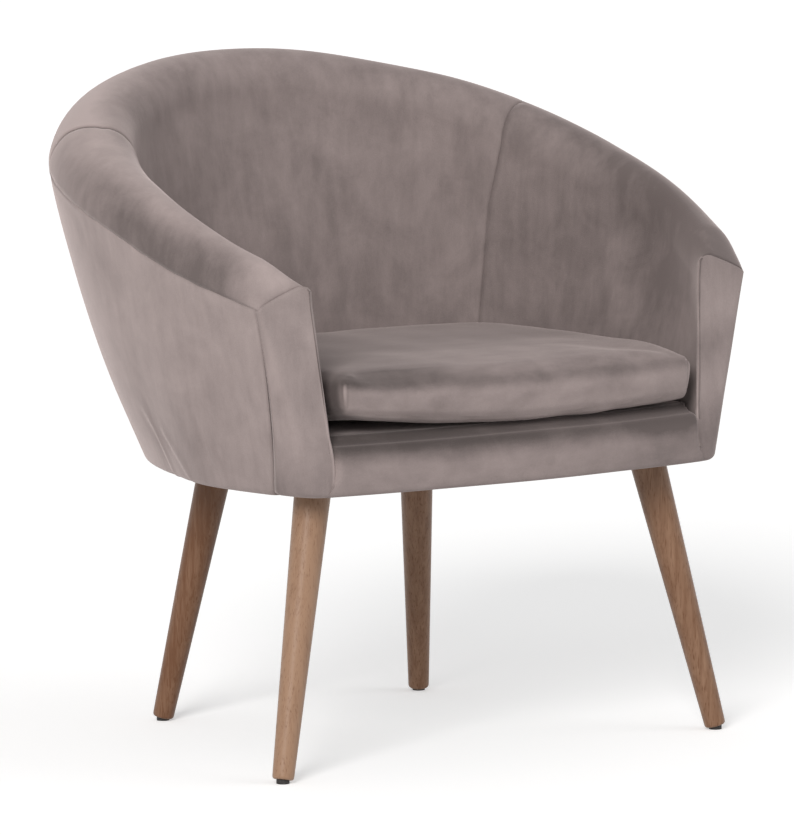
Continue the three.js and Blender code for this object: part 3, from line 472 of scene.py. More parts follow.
def new_group(name, inputs, outputs):
    """A shader node group with named sockets; inputs hold their default values."""
    group = bpy.data.node_groups.new(name, "ShaderNodeTree")
    for key, value in inputs.items():
        kind = SOCKET_KINDS[len(value) if isinstance(value, tuple) else 1]
        socket = group.interface.new_socket(name=key, in_out="INPUT", socket_type=kind)
        socket.default_value = value
    for key in outputs:
        kind = SOCKET_KINDS[4 if key == "Color" else 1]
        group.interface.new_socket(name=key, in_out="OUTPUT", socket_type=kind)
    tree = Tree(group)
    return group, tree, tree.node("NodeGroupInput").outputs, tree.node("NodeGroupOutput").inputs


# What lifts the velvet's tone: patches, streaks, tufts, the nap's tone with painted light and shade, and its
# plain tone
PATCH_SHARE, STREAK_SHARE, TUFT_SHARE, NAP_AND_PAINTED_LIGHT_SHARE, PLAIN_TONE = 0.25, 0.16, 0.2, 0.5, 0.19
TUFT_SCALE = 950.0
# Colour and share of the painted shade that the seam attribute carries: a dark line along seams, the shadow
# under the cushion, the cushion's darker top
PAINTED_SHADE_COLOR, PAINTED_SHADE_SHARE = (0.035, 0.03, 0.028, 1.0), 0.5


def nap_group():
    """Velvet pile: cloudy patches where it was stroked, streaks down the cloth and single tufts, under the
    nap's tone with painted light and shade and the painted shade along seams.
    """
    inputs = {
        "Light": (0.47, 0.385, 0.37, 1.0),
        "Dark": (0.15, 0.122, 0.117, 1.0),
        "Patch Scale": 15.0,
        "Streak Stretch": (1.0, 1.0, 0.22),
        "Streak Scale": 62.0,
        "Nap And Painted Light": 0.0,
        "Seam": 0.0,
    }
    group, tree, given, out = new_group("velvet nap", inputs, ("Color", "Height"))
    where = tree.where()
    patch = tree.ramp(tree.noise(where, given["Patch Scale"], 4.0, 0.6, 0.5), 0.3, 0.72)
    along = tree.stretched(where, given["Streak Stretch"])
    streak = tree.ramp(tree.noise(along, given["Streak Scale"], 4.0, 0.6), 0.3, 0.7)
    tufts = tree.noise(where, TUFT_SCALE, 1.0)
    share = tree.mixture((patch, PATCH_SHARE), (streak, STREAK_SHARE), (tufts, TUFT_SHARE))
    # Each piece's nap tone, partly the real nap and partly painted light and shade
    stroke = tree.math("MULTIPLY_ADD", given["Nap And Painted Light"], NAP_AND_PAINTED_LIGHT_SHARE, PLAIN_TONE)
    share = tree.math("ADD", share, stroke, clamp=True)
    color = tree.blend(share, given["Dark"], given["Light"])
    # Painted shade, darkening the colour where the seam attribute says
    shade = tree.math("MULTIPLY", given["Seam"], PAINTED_SHADE_SHARE)
    tree.join(tree.blend(shade, color, PAINTED_SHADE_COLOR), out["Color"])
    tree.join(tree.mixture((tufts, 0.7), (streak, 0.3)), out["Height"])
    return group


def grain_group():
    """Timber: long grain, pores and slow changes of tone along one direction."""
    inputs = {
        "Light": (0.45, 0.3, 0.2, 1.0),
        "Dark": (0.2, 0.12, 0.07, 1.0),
        "Stretch": (1.0, 1.0, 0.07),
        "Scale": 160.0,
        "Tone And Light": 0.0,
    }
    group, tree, given, out = new_group("timber grain", inputs, ("Color", "Rough", "Height"))
    where = tree.where()
    along = tree.stretched(where, given["Stretch"])
    line = tree.ramp(tree.noise(along, given["Scale"], 5.0, 0.62, 0.5), 0.32, 0.68)
    pore_scale = tree.math("MULTIPLY", given["Scale"], 5.0)
    pore = tree.ramp(tree.noise(along, pore_scale, 2.0), 0.56, 0.7)
    share = tree.mixture((line, 0.45), (tree.noise(where, 9.0, 2.0), 0.5))
    share = tree.math("SUBTRACT", share, tree.math("MULTIPLY", pore, 0.4))
    # Each leg's own tone with its painted light and shade
    share = tree.math("ADD", share, given["Tone And Light"], clamp=True)
    tree.join(tree.blend(share, given["Dark"], given["Light"]), out["Color"])
    tree.join(tree.mixture((pore, 0.18), (line, 0.08)), out["Rough"])
    tree.join(tree.math("SUBTRACT", line, pore), out["Height"])
    return group


def speckle_group():
    """Small specks of two colours, for foam, board, cloth, rubber and steel."""
    inputs = {
        "First": (0.5, 0.5, 0.5, 1.0),
        "Second": (0.3, 0.3, 0.3, 1.0),
        "Scale": 300.0,
        "Stretch": (1.0, 1.0, 1.0),
    }
    group, tree, given, out = new_group("fine speckle", inputs, ("Color", "Height"))
    along = tree.stretched(tree.where(), given["Stretch"])
    share = tree.ramp(tree.noise(along, given["Scale"], 4.0, 0.65), 0.35, 0.65)
    tree.join(tree.blend(share, given["First"], given["Second"]), out["Color"])
    tree.join(share, out["Height"])
    return group


def new_material(name):
    """The empty node tree of a new material."""
    material = bpy.data.materials.new(name)
    material.use_nodes = True
    material.node_tree.nodes.clear()
    return Tree(material.node_tree)


def velvet(name, group, light, dark, sheen, stretch=(1.0, 1.0, 0.22)):
    tree = new_material(name)
    inputs = {
        "Light": (*light, 1),
        "Dark": (*dark, 1),
        "Streak Stretch": stretch,
        # The seam attribute holds painted shade along seams and where shadow falls
        "Seam": tree.mask("seam"),
        "Nap And Painted Light": tree.mask("stroke"),
    }
    nap = tree.node("ShaderNodeGroup", inputs, node_tree=group).outputs
    # Painted sheen: the base colour turns towards the sheen colour where the cloth is seen at a grazing
    # angle
    edge = tree.node("ShaderNodeLayerWeight", {"Blend": 0.42}).outputs["Facing"]
    painted_sheen = tree.math("MULTIPLY", tree.math("POWER", edge, 3.0), 0.55)
    inputs = {
        "Base Color": tree.blend(painted_sheen, nap["Color"], (*sheen, 1)),
        "Roughness": 0.82,
        "Specular IOR Level": 0.15,
        "Sheen Weight": 0.45,
        "Sheen Roughness": 0.38,
        "Sheen Tint": (0.95, 0.82, 0.8, 1.0),
        "Normal": tree.bump(nap["Height"], 0.35, 0.0012),
    }
    tree.principled(inputs)


def timber(name, group, light, dark, rough, coat, stretch=(1.0, 1.0, 0.07), scale=160.0):
    tree = new_material(name)
    inputs = {
        "Light": (*light, 1),
        "Dark": (*dark, 1),
        "Stretch": stretch,
        "Scale": scale,
        "Tone And Light": tree.mask("board"),
    }
    grain = tree.node("ShaderNodeGroup", inputs, node_tree=group).outputs
    inputs = {
        "Base Color": grain["Color"],
        "Roughness": tree.math("ADD", grain["Rough"], rough),
        "Coat Weight": coat,
        "Coat Roughness": 0.3,
        "Specular IOR Level": 0.3,
        "Normal": tree.bump(grain["Height"], 0.25, 0.0006),
    }
    tree.principled(inputs)


EVEN = (1.0, 1.0, 1.0)


def speckled(name, group, first, second, rough, scale, stretch=EVEN, metallic=0.0, depth=0.0005):
    tree = new_material(name)
    inputs = {"First": (*first, 1), "Second": (*second, 1), "Scale": scale, "Stretch": stretch}
    specks = tree.node("ShaderNodeGroup", inputs, node_tree=group).outputs
    inputs = {
        "Base Color": specks["Color"],
        "Roughness": rough,
        "Metallic": metallic,
        "Normal": tree.bump(specks["Height"], 0.4, depth),
    }
    tree.principled(inputs)


# Sizes and colours that a user would change


def length(name, description, default, high, low=0.0):
    """A length that a user would change."""
    words = {"name": name, "description": description}
    return FloatProperty(**words, default=default, min=low, max=high, unit="LENGTH")


def tint(name, description, default):
    """A colour that a user would change."""
    words = {"name": name, "description": description}
    return FloatVectorProperty(**words, default=default, subtype="COLOR", size=3)


def strength(name, description, default):
    """The strength of a light."""
    return FloatProperty(name=name, description=description, default=default, min=0)


class TUBCHAIR_PG_covers(bpy.types.PropertyGroup):
    seam_depth: length("Seam depth", "How far the cloth is drawn in along a seam", 0.0022, 0.006)
    slack: length("Slack", "Height of the soft unevenness of the padded panels", 0.0008, 0.004)
    pucker: length("Pucker", "Height of the small puckers beside the sewn ridge", 0.0005, 0.002)
    gather: length("Gather", "Depth of the folds low on the outside arms", 0.0022, 0.005)


class TUBCHAIR_PG_cushion(bpy.types.PropertyGroup):
    pressure: FloatProperty(
        name="Pressure",
        description="How hard the filling swells the cover",
        default=2.0,
        min=0,
        max=12,
    )
    swell_limit: length(
        "Swell limit", "The most that a point may move while the cushion swells", 0.005, 0.04, low=0.001
    )
    evenness: FloatProperty(
        name="Evenness",
        description="How much the creases are stroked out of the swollen cover",
        default=0.85,
        min=0,
        max=1,
        subtype="FACTOR",
    )
    corner_lift: length(
        "Corner lift", "How far the seam at the left front corner stands off the deck", 0.021, 0.03
    )


class TUBCHAIR_PG_finishes(bpy.types.PropertyGroup):
    velvet_light: tint("Velvet, light", "Pile stroked towards the eye", (0.47, 0.385, 0.37))
    velvet_dark: tint("Velvet, dark", "Pile stroked away from the eye", (0.15, 0.122, 0.117))
    # The colour of the painted sheen that the velvets' base colour turns to at grazing angles
    velvet_sheen: tint("Velvet, edge", "Colour of the pile seen along the cloth", (0.62, 0.52, 0.5))
    leg_light: tint("Leg, light", "Light grain of the stained legs", (0.35, 0.21, 0.132))
    leg_dark: tint("Leg, dark", "Dark grain of the stained legs", (0.145, 0.06, 0.025))


class TUBCHAIR_PG_studio(bpy.types.PropertyGroup):
    key_strength: strength("Key light", "Strength of the light from the front left", 1.9)
    fill_strength: strength("Fill light", "Strength of the light from the right", 0.35)
    room_light: strength("Room light", "Light from all round", 0.42)
    floor_color: tint("Floor", "Colour of the floor", (0.86, 0.86, 0.86))


class TUBCHAIR_PG_settings(bpy.types.PropertyGroup):
    covers: PointerProperty(type=TUBCHAIR_PG_covers)
    cushion: PointerProperty(type=TUBCHAIR_PG_cushion)
    finishes: PointerProperty(type=TUBCHAIR_PG_finishes)
    studio: PointerProperty(type=TUBCHAIR_PG_studio)


def settings():
    return bpy.context.scene.tubchair


def finish_named(name):
    found = bpy.data.materials.get(name)
    if found is None:
        raise RuntimeError(f"there is no finish named {name}; mix the finishes first")
    return found


def dimmed(color, share):
    return [share * c for c in color]


# Operators


class TUBCHAIR_OT_finishes(bpy.types.Operator):
    """Mix the velvets, the timbers and the other finishes"""

    bl_idname = "tubchair.finishes"
    bl_label = "Mix finishes"

    def execute(self, context):
        colors = settings().finishes
        nap, grain, speckle = nap_group(), grain_group(), speckle_group()
        light, dark, sheen = colors.velvet_light, colors.velvet_dark, colors.velvet_sheen
        velvet("body velvet", nap, light, dark, sheen)
        # Shaded copy: darker, with a dimmer painted sheen, for the painted shadow on the border's top under
        # the cushion
        velvet("border velvet", nap, light, dimmed(dark, 0.88), dimmed(sheen, 0.35), (0.3, 1.0, 0.8))
        # Shaded copy: darker, with a dimmer painted sheen, for painted shade on the cushion's top
        velvet("seat velvet", nap, light, dimmed(dark, 0.7), dimmed(sheen, 0.7), (0.35, 1.0, 0.5))
        # Shaded copy: darker all over, painted shade for the deck in the cushion's shadow
        velvet("deck velvet", nap, dark, dimmed(dark, 0.5), sheen)
        timber("stained beech", grain, colors.leg_light, colors.leg_dark, 0.36, 0.1)
        pale, deep = (0.62, 0.46, 0.29), (0.42, 0.29, 0.17)
        timber("frame timber", grain, pale, deep, 0.6, 0.0, stretch=(0.2, 0.2, 1.0), scale=60.0)
        pale, deep = (0.5, 0.33, 0.19), (0.36, 0.23, 0.13)
        speckled("plywood", speckle, pale, deep, 0.7, 90.0, stretch=(0.25, 1.0, 4.0))
        speckled("cut foam", speckle, (0.84, 0.77, 0.58), (0.7, 0.62, 0.44), 0.95, 650.0)
        speckled("black cloth", speckle, (0.018, 0.017, 0.018), (0.035, 0.034, 0.035), 0.95, 900.0)
        pale, deep = (0.55, 0.55, 0.56), (0.42, 0.42, 0.43)
        speckled("zinc steel", speckle, pale, deep, 0.38, 120.0, metallic=1.0, depth=0.0002)
        speckled("dark rubber", speckle, (0.02, 0.018, 0.017), (0.035, 0.032, 0.03), 0.75, 500.0)
        return {"FINISHED"}


# Width of the sunk seam, and of the painted shade line along it
SEAM_WIDTH, SEAM_LINE = 0.0042, 0.0011


def tidy_seam(rows, seam_depth, edges):
    """Sinks the rows at their sewn edges (start, end, low, high) and returns them with the mask of the
    painted shade along the seams.
    """
    along = lengths_along(rows, 0)
    up = lengths_along(rows, 1)
    distances = {
        "start": along,
        "end": along[-1:] - along,
        "low": up,
        "high": up[:, -1:] - up,
    }
    sink = np.zeros(rows.shape[:2])
    mask = np.zeros(rows.shape[:2])
    for edge, share in edges.items():
        sink = np.maximum(sink, share * gap_valley(distances[edge], SEAM_WIDTH))
        mask = np.maximum(mask, share * gap_valley(distances[edge], SEAM_LINE))
    return rows - normals_of(rows) * (sink * seam_depth)[..., None], mask


class TUBCHAIR_OT_inside_covers(bpy.types.Operator):
    """Sew the inside back and the inside arms over the rolled rim"""

    bl_idname = "tubchair.inside_covers"
    bl_label = "Sew inside covers"

    def execute(self, context):
        sizes = settings().covers
        seam = rim_seam()[None]
        t = np.linspace(0, 1, ARM_ROWS)[:, None]
        stations = mix(FACING_GAP / ARM_LENGTH, seam - HALF_GAP, 0.75 * t + 0.25 * t * t)
        insets, heights = along_columns(band_section, stations)
        rows = place(stations, insets, heights)
        hidden = ease(np.arange(BAND_COLUMNS) / 7)
        ridge = 0.3 * fading_ridge(stations[:, :1])
        right = {"start": 0.12, "end": 0.7 * hidden / 7, "low": ridge}
        left = {"end": 0.12, "start": 0.7 * hidden, "low": ridge[::-1]}
        stroke = self.arm_nap_and_painted_light(stations, insets, False)
        self.sew_arm("right", rows, stroke, sizes, right, 3)
        stroke = self.arm_nap_and_painted_light(stations, insets, True)
        self.sew_arm("left", mirrored_rows(rows), stroke[::-1], sizes, left, 4)
        rows, across, insets, heights = back_rows(band_section, seam)
        edges = {"start": 0.1 * hidden, "end": 0.7 * hidden, "low": 0.08}
        rows, mask = self.shape(rows, sizes, edges, 11)
        stroke = self.back_nap_and_painted_light(across, insets, heights)
        sew_cover("inside_back_velvet", rows, mask, stroke, ["inside_back_cover", "back_foam"])
        return {"FINISHED"}

    def sew_arm(self, side, rows, stroke, sizes, edges, seed):
        rows, mask = self.shape(rows, sizes, edges, seed)
        stands_for = [f"inside_arm_cover_{side}", f"arm_foam_{side}"]
        sew_cover(f"inside_arm_velvet_{side}", rows, mask, stroke, stands_for)

    def back_nap_and_painted_light(self, across, insets, heights):
        """The nap's tone with painted light and shade over the inside back: painted darker than the sides
        and lower down, lighter along the rim, and painted lit round the rim's left.
        """
        rim = gap_valley(insets - 0.026, 0.043)
        lit = rim * (1.6 * ease(-across / 0.5) - 0.35 * ease((across - 0.3) / 0.35))
        patch = -0.5 * gap_valley(across + 0.5, 0.12) * gap_valley(insets - 0.095, 0.02)
        patch = patch * ease((heights - 0.66) / 0.05)
        return -0.28 - 0.08 * ease((0.56 - heights) / 0.1) + 0.1 * rim + lit + patch

    def arm_nap_and_painted_light(self, stations, insets, left):
        """The nap's tone with painted light and shade over an arm: dark along the ridge and by the facing,
        as nap and as painted shade, and painted lit over the crest on the left.
        """
        wall = ease((insets - 0.055) / 0.025)
        if not left:
            return mix(-1.0 + 0.3 * ease((stations - 0.8) / 0.5), -0.5, wall)
        reach = 0.0205 + 0.004 * np.sin(stations * 8)
        ridge = np.exp(-((insets / reach) ** 2.5)) * ease((stations + 0.05) / 0.3)
        ridge = ridge * ease((1.5 - stations) / 0.68)
        end = gap_valley(stations, 0.025) * ease(insets / 0.02)
        return mix(0.55, -0.5, wall) - 1.45 * ridge - 0.5 * end

    def shape(self, rows, sizes, edges, seed):
        soft = waves(rows, 0.085, seed) * sizes.slack
        up = lengths_along(rows, 1)
        along = lengths_along(rows, 0)
        fade = 1 - gap_valley(up, 0.02)
        ripple = np.sin(along / 0.0085 + 2.2 * waves(rows, 0.05, seed + 5))
        ripple = ripple * gap_valley(up - 0.006, 0.009)
        rows = rows + normals_of(rows) * (soft * fade + ripple * sizes.pucker)[..., None]
        return tidy_seam(rows, sizes.seam_depth, edges)


def wrap_station(height):
    """Station of the seam between the facing and the outside arm."""
    share = np.clip((height - UNDERSIDE) / RIDGE_RISES[0], 0, 1)
    return (mix(WRAP_FOOT, WRAP_TOP, share) - WRAP_BOW * share * (1 - share)) / ARM_LENGTH


# Folds at the lower rear of the outside arm: station and height of the top and of the foot, and strength
FOLDS = (
    (1.068, 0.400, 0.918, 0.3212, 1.0),
    (0.92, 0.3723, 0.68, 0.3198, 0.9),
    (0.466, 0.3628, 0.392, 0.3306, 0.6),
)


class TUBCHAIR_OT_outside_covers(bpy.types.Operator):
    """Sew the outside back and the outside arms under the ridge"""

    bl_idname = "tubchair.outside_covers"
    bl_label = "Sew outside covers"

    def execute(self, context):
        sizes = settings().covers
        shares = np.linspace(0, 1, ARM_ROWS)[:, None]
        _, heights = panel_section(np.zeros(1))
        seam = SEAM_STATION + np.linspace(0, 0.05, heights.shape[1])[None]
        stations = mix(wrap_station(heights), seam - HALF_GAP, shares)
        insets, heights = along_columns(panel_section, stations)
        rows = place(stations, insets, heights)
        self.sew_arm("right", rows, stations, sizes, ("start", "end"), 21)
        self.sew_arm("left", mirrored_rows(rows), stations[::-1], sizes, ("end", "start"), 22)
        rows = back_rows(panel_section, seam)[0]
        rows, mask = self.shape(rows, sizes, {"start": 0.45, "end": 0.45, "high": 0.1}, 31)
        sew_cover("outside_back_velvet", rows, mask, self.stroke(rows), ["outside_back_cover"])
        return {"FINISHED"}

    def sew_arm(self, side, rows, stations, sizes, ends, seed):
        rows = self.gather(rows, stations, sizes)
        front, rear = ends
        edges = {front: 0.4, rear: 0.45, "high": 0.4 * fading_ridge(stations[:, -1:])}
        rows, mask = self.shape(rows, sizes, edges, seed)
        name = f"outside_arm_velvet_{side}"
        sew_cover(name, rows, mask, self.stroke(rows), [f"outside_arm_cover_{side}"])

    def stroke(self, rows):
        """The nap's tone with painted light over the outside: painted lighter near the top, a little darker
        towards the hem, with random patches.
        """
        return mix(0.05, 0.38, ease((rows[..., 2] - 0.33) / 0.16)) + 0.15 * waves(rows, 0.12, 5)

    def gather(self, rows, stations, sizes):
        run = ARM_SPREAD
        total = np.zeros(rows.shape[:2])
        for u0, z0, u1, z1, strength in FOLDS:
            top, foot = np.array([u0 * run, z0]), np.array([u1 * run, z1])
            way = foot - top
            here = np.stack([stations * run, rows[..., 2]], -1) - top
            t = here @ way / (way @ way)
            side = (here[..., 0] * way[1] - here[..., 1] * way[0]) / np.linalg.norm(way)
            length = ease(t / 0.35) * ease((1.25 - t) / 0.3)
            crease = gap_valley(side, 0.004) - 0.55 * gap_valley(side - 0.011, 0.008)
            total += strength * length * crease
        limit = mix(0.0003, 0.0008, ease((rows[..., 2] - 0.346) / 0.01))
        sunk = np.minimum(0.9 * (total - 0.12 * np.abs(total)) * sizes.gather, limit)
        return rows - normals_of(rows) * sunk[..., None]

    def shape(self, rows, sizes, edges, seed):
        soft = (waves(rows, 0.1, seed) * 0.6 + 0.3) * sizes.slack
        up = lengths_along(rows, 1)
        down = up[:, -1:] - up
        along = lengths_along(rows, 0)
        fade = 1 - gap_valley(down, 0.02)
        ripple = np.sin(along / 0.0095 + 2.5 * waves(rows, 0.05, seed + 5))
        ripple = ripple * gap_valley(down - 0.007, 0.01)
        belly = 0.002 * np.sin(np.clip(up / up[:, -1:], 0, 1) * math.pi) ** 2
        rows = rows + normals_of(rows) * (soft * fade + ripple * sizes.pucker + belly)[..., None]
        return tidy_seam(rows, sizes.seam_depth, edges)


def facing_rows():
    """Rows of the right facing from the hem up: across the front, round the corner, to the side seam."""
    levels = [(UNDERSIDE, EDGE_ROUND + s, 0.0) for s in FACING_HEM]
    curve = np.linspace(0, 1, 10)
    levels += [(UNDERSIDE + EDGE_ROUND * t * t, EDGE_ROUND * (1 - t) ** 2, 0.0) for t in curve]
    top = UNDERSIDE + RIDGE_RISES[0]
    rise = np.linspace(0, 1, 56)[1:]
    levels += [(mix(UNDERSIDE + EDGE_ROUND, top, t), 0.0, t) for t in rise]
    tip_insets, tip_heights = band_section(np.zeros(1))
    zero = np.zeros(1)

    def top_height(inset):
        return np.interp(inset, tip_insets[0, :RIM_COLUMNS], tip_heights[0, :RIM_COLUMNS])

    rows = []
    for height, inset, top_share in levels:
        share = np.clip((height - UNDERSIDE) / RIDGE_RISES[0], 0, 1)
        side = outer_inset(zero, height)[0] + inset
        inner = wall_inset(zero, np.array([height]))[0]
        rounding = min(mix(*FACING_ROUNDS, share), ROUND_SHARE * (inner - side))

        def front(across, height=height, inset=inset, side=side, top_share=top_share):
            across = np.atleast_1d(across)
            level = height + top_share * (top_height(across * TIP_INNER) - top)
            depth = mix(side, wall_inset(0 * level, level) + waist(level), across)
            points = place(0 * level, depth, level)
            points[:, 1] += inset
            return points

        def along(station, height=height, inset=inset):
            u = np.atleast_1d(station)
            return place(u, outer_inset(u, height) + inset, height + 0 * u)

        turn_share = rounding / (inner - side)
        first = (inset + rounding) / ARM_LENGTH
        start, corner, end = front(turn_share), front(0.0), along(first)
        points = [front(np.linspace(1, turn_share, 17))]
        for t in np.linspace(0, 1, 8)[1:]:
            points.append((1 - t) ** 2 * start + 2 * t * (1 - t) * corner + t * t * end)
        last = wrap_station(height) + FACING_GAP / ARM_LENGTH
        last = max(last, (inset + rounding + 0.003) / ARM_LENGTH)
        points.append(along(np.linspace(first, last, 7)[1:]))
        rows.append(np.concatenate(points))
    return np.array(rows)[:, ::-1]


class TUBCHAIR_OT_arm_facings(bpy.types.Operator):
    """Sew the facings on the front ends of the arms"""

    bl_idname = "tubchair.arm_facings"
    bl_label = "Sew arm facings"

    def execute(self, context):
        sizes = settings().covers
        rows = facing_rows()
        # Each facing's tone, with the left one painted lighter than the right as painted light
        self.sew("right", rows, sizes, ("low", "high"), 41, -0.02)
        self.sew("left", (rows * MIRROR)[:, ::-1], sizes, ("high", "low"), 42, 0.28)
        return {"FINISHED"}

    def sew(self, side, rows, sizes, edges, seed, tone):
        outer, inner = edges
        soft = waves(rows, 0.06, seed) * sizes.slack * 0.5
        rows = rows + normals_of(rows) * soft[..., None]
        rows, mask = tidy_seam(rows, sizes.seam_depth, {outer: 0.5, inner: 0.1, "end": 0.12})
        up = lengths_along(rows, 1)
        across = up[:, -1:] - up if inner == "high" else up
        # Painted shade darker towards the facing's foot, and a painted highlight along its inner edge
        low = -0.55 * ease((0.41 - rows[..., 2]) / 0.07)
        painted_edge_highlight = 0.9 * gap_valley(across - 0.002, 0.0016)
        stroke = tone + low + 0.1 * waves(rows, 0.05, 44) + painted_edge_highlight
        sew_cover(f"arm_facing_velvet_{side}", rows, mask, stroke, [f"arm_facing_{side}"])


def border_line(x):
    half = place(np.zeros(1), SEAT_INSETS[0], np.array([UNDERSIDE]))[0, 0]
    return FOOTPRINT_SHIFT - BORDER_FRONT + BORDER_BOW * (x / half) ** 2, half


def waist(height):
    """How far the facing swells over the border's end at each height."""
    return 0.005 * np.sin(np.clip((height - UNDERSIDE) / (DECK_TOP - UNDERSIDE), 0, 1) * math.pi)


BORDER_EDGE = 0.012
BORDER_TUCK = 0.030


class TUBCHAIR_OT_front_border(bpy.types.Operator):
    """Sew the padded border below the cushion's front"""

    bl_idname = "tubchair.front_border"
    bl_label = "Sew front border"

    def execute(self, context):
        sizes = settings().covers
        _, half = border_line(0.0)
        t = np.linspace(0, 1, 10)
        depth = [np.linspace(BORDER_TUCK, EDGE_ROUND, 5)[:-1], EDGE_ROUND * (1 - t) ** 2]
        height = [np.full(4, UNDERSIDE), UNDERSIDE + EDGE_ROUND * t * t]
        depth.append(np.zeros(9))
        height.append(np.linspace(UNDERSIDE + EDGE_ROUND, BORDER_TOP - BORDER_EDGE, 11)[1:-1])
        depth.append(BORDER_EDGE * t**2)
        height.append(BORDER_TOP - BORDER_EDGE * (1 - t) ** 2)
        depth.append(np.linspace(BORDER_EDGE, BORDER_TUCK, 7)[1:])
        height.append(BORDER_TOP + np.linspace(0, 1, 7)[1:] ** 1.4 * (DECK_TOP - BORDER_TOP))
        depth, height = np.concatenate(depth), np.concatenate(height)
        along = np.sin(np.linspace(-1, 1, 118) * math.pi / 2)[:, None]
        spread = half + 0.0015 + 0.004 * ease((UNDERSIDE + 0.014 - height) / 0.01) - waist(height)
        x = along * spread[None]
        line, _ = border_line(x)
        tuck = 0.010 * gap_valley((1 - np.abs(along)) * half, 0.0035)
        tuck = tuck * ease((height - UNDERSIDE - 0.01) / 0.015)[None]
        rows = np.stack(np.broadcast_arrays(x, line + depth[None] + tuck, height[None]), -1)
        up = lengths_along(rows, 1)
        belly = 0.002 * np.sin(np.clip((up - 0.02) / 0.07, 0, 1) * math.pi) ** 2
        soft = waves(rows, 0.08, 51) * sizes.slack * 0.6
        rows = rows + normals_of(rows) * (soft + belly)[..., None]
        rows, mask = tidy_seam(rows, 0.0, {"start": 0.2, "end": 0.2})
        # Painted shadow under the cushion: the seam attribute darkens the border's top, most on the left
        shadow = mix(0.45, 1.0, ease((0.25 - rows[..., 0]) / 0.4))
        mask = np.maximum(mask, ease((rows[..., 2] - 0.360) / 0.012) * shadow)
        # Painted shade: darker towards the top under the cushion, and towards the right end
        stroke = 0.08 - 1.0 * ease((rows[..., 2] - 0.345) / 0.026)
        stroke = stroke - 0.4 * ease((rows[..., 0] - 0.1) / 0.12)
        stands_for = ["front_border_cover", "front_border_pad"]
        sew_cover("front_border_velvet", rows, mask, stroke, stands_for, "border velvet")
        return {"FINISHED"}


def rounded_outline(inset_at, level, first, front):
    """Plan outline inside the body: an inset at each station from the first, and a line across the front."""
    u = np.linspace(first, 2, 90)
    right = place(u, inset_at(u), level + 0 * u)[:, :2]
    left = right[-2::-1] * np.array([-1, 1])
    return np.concatenate([front, right, left])


def even_points(outline, count):
    """The closed outline in equal steps."""
    closed = np.concatenate([outline, outline[:1]])
    steps = np.concatenate([[0], np.cumsum(np.linalg.norm(np.diff(closed, axis=0), axis=1))])
    at = np.linspace(0, steps[-1], count, endpoint=False)
    return np.stack([np.interp(at, steps, closed[:, k]) for k in (0, 1)], -1)


DECK_HALF = 0.236
DECK_RINGS = (1.0, 0.985, 0.96, 0.92, 0.86, 0.78, 0.68, 0.56, 0.43, 0.29, 0.14, 0.02)
DECK_SAG = 0.0035
DECK_THICK = 0.0128


class TUBCHAIR_OT_deck(bpy.types.Operator):
    """Lay the padded deck under the cushion"""

    bl_idname = "tubchair.deck"
    bl_label = "Lay deck"

    def execute(self, context):
        x = np.linspace(-DECK_HALF, DECK_HALF, 40)
        line, _ = border_line(x)
        front = np.stack([x, line + 0.032], -1)
        plan = rounded_outline(lambda u: keyed(SEAT_INSETS, u) + 0.0006, DECK_TOP, 0.08, front)
        outline = even_points(plan, 220)
        middle = np.array([0.0, outline[:, 1].mean()])
        rings = []
        for share in DECK_RINGS:
            flat = middle + (outline - middle) * share
            sag = DECK_SAG * (1 - share**2) + 0.0012 * (share > 0.99)
            points = np.concatenate([flat, np.full((len(flat), 1), DECK_TOP - 0.0002 - sag)], 1)
            points[:, 2] += 0.0006 * waves(points, 0.07, 61) * (1 - share) - 0.0003
            rings.append(points)
        low = rings[0].copy()
        low[:, 2] = DECK_TOP - DECK_THICK
        inner = low.copy()
        inner[:, :2] = middle + (inner[:, :2] - middle) * 0.02
        points = np.concatenate([inner, low, *rings])
        faces = closed_faces(len(rings) + 2, len(outline))
        piece = add_object("deck_velvet", points, faces, {"seam": np.zeros(len(points))})
        outward(piece)
        dress(piece, "deck velvet", "root", ["deck_cover", "deck_pad"])
        return {"FINISHED"}

CUSHION_HEIGHT = 0.069
CUSHION_BOTTOM = DECK_TOP + 0.0004
CUSHION_ROUND = 0.006
# Inset and height of the rings up the cushion's lower half
CUSHION_RINGS = ((0.009, 0.0), (0.0038, 0.0008), (0.0018, 0.004), (0.0008, 0.012), (-0.0008, 0.024))
CUSHION_POINTS = 200


def cushion_outline(count):
    """Plan outline of the cushion, from its front's middle round its right side, and its front corner."""

    def side(u):
        return place(u, keyed(SEAT_INSETS, u) + 0.011, DECK_TOP + 0 * u)[:, :2]

    corner = side(np.zeros(1))[0]
    front = FOOTPRINT_SHIFT - ARM_LENGTH - 0.045

    def line(x):
        return front + 0.016 * (x / corner[0]) ** 2

    tip = np.array([corner[0], line(corner[0])])
    x = np.linspace(0, tip[0] - CUSHION_ROUND, 40)
    points = [np.stack([x, line(x)], -1)]
    start, end = points[0][-1], tip + np.array([0, CUSHION_ROUND])
    for t in np.linspace(0, 1, 6)[1:]:
        points.append(((1 - t) ** 2 * start + 2 * t * (1 - t) * tip + t * t * end)[None])
    points.append(side(np.linspace(0.03, 2, 100)))
    right = np.concatenate(points)
    return even_points(np.concatenate([right, right[-2:0:-1] * np.array([-1, 1])]), count), tip


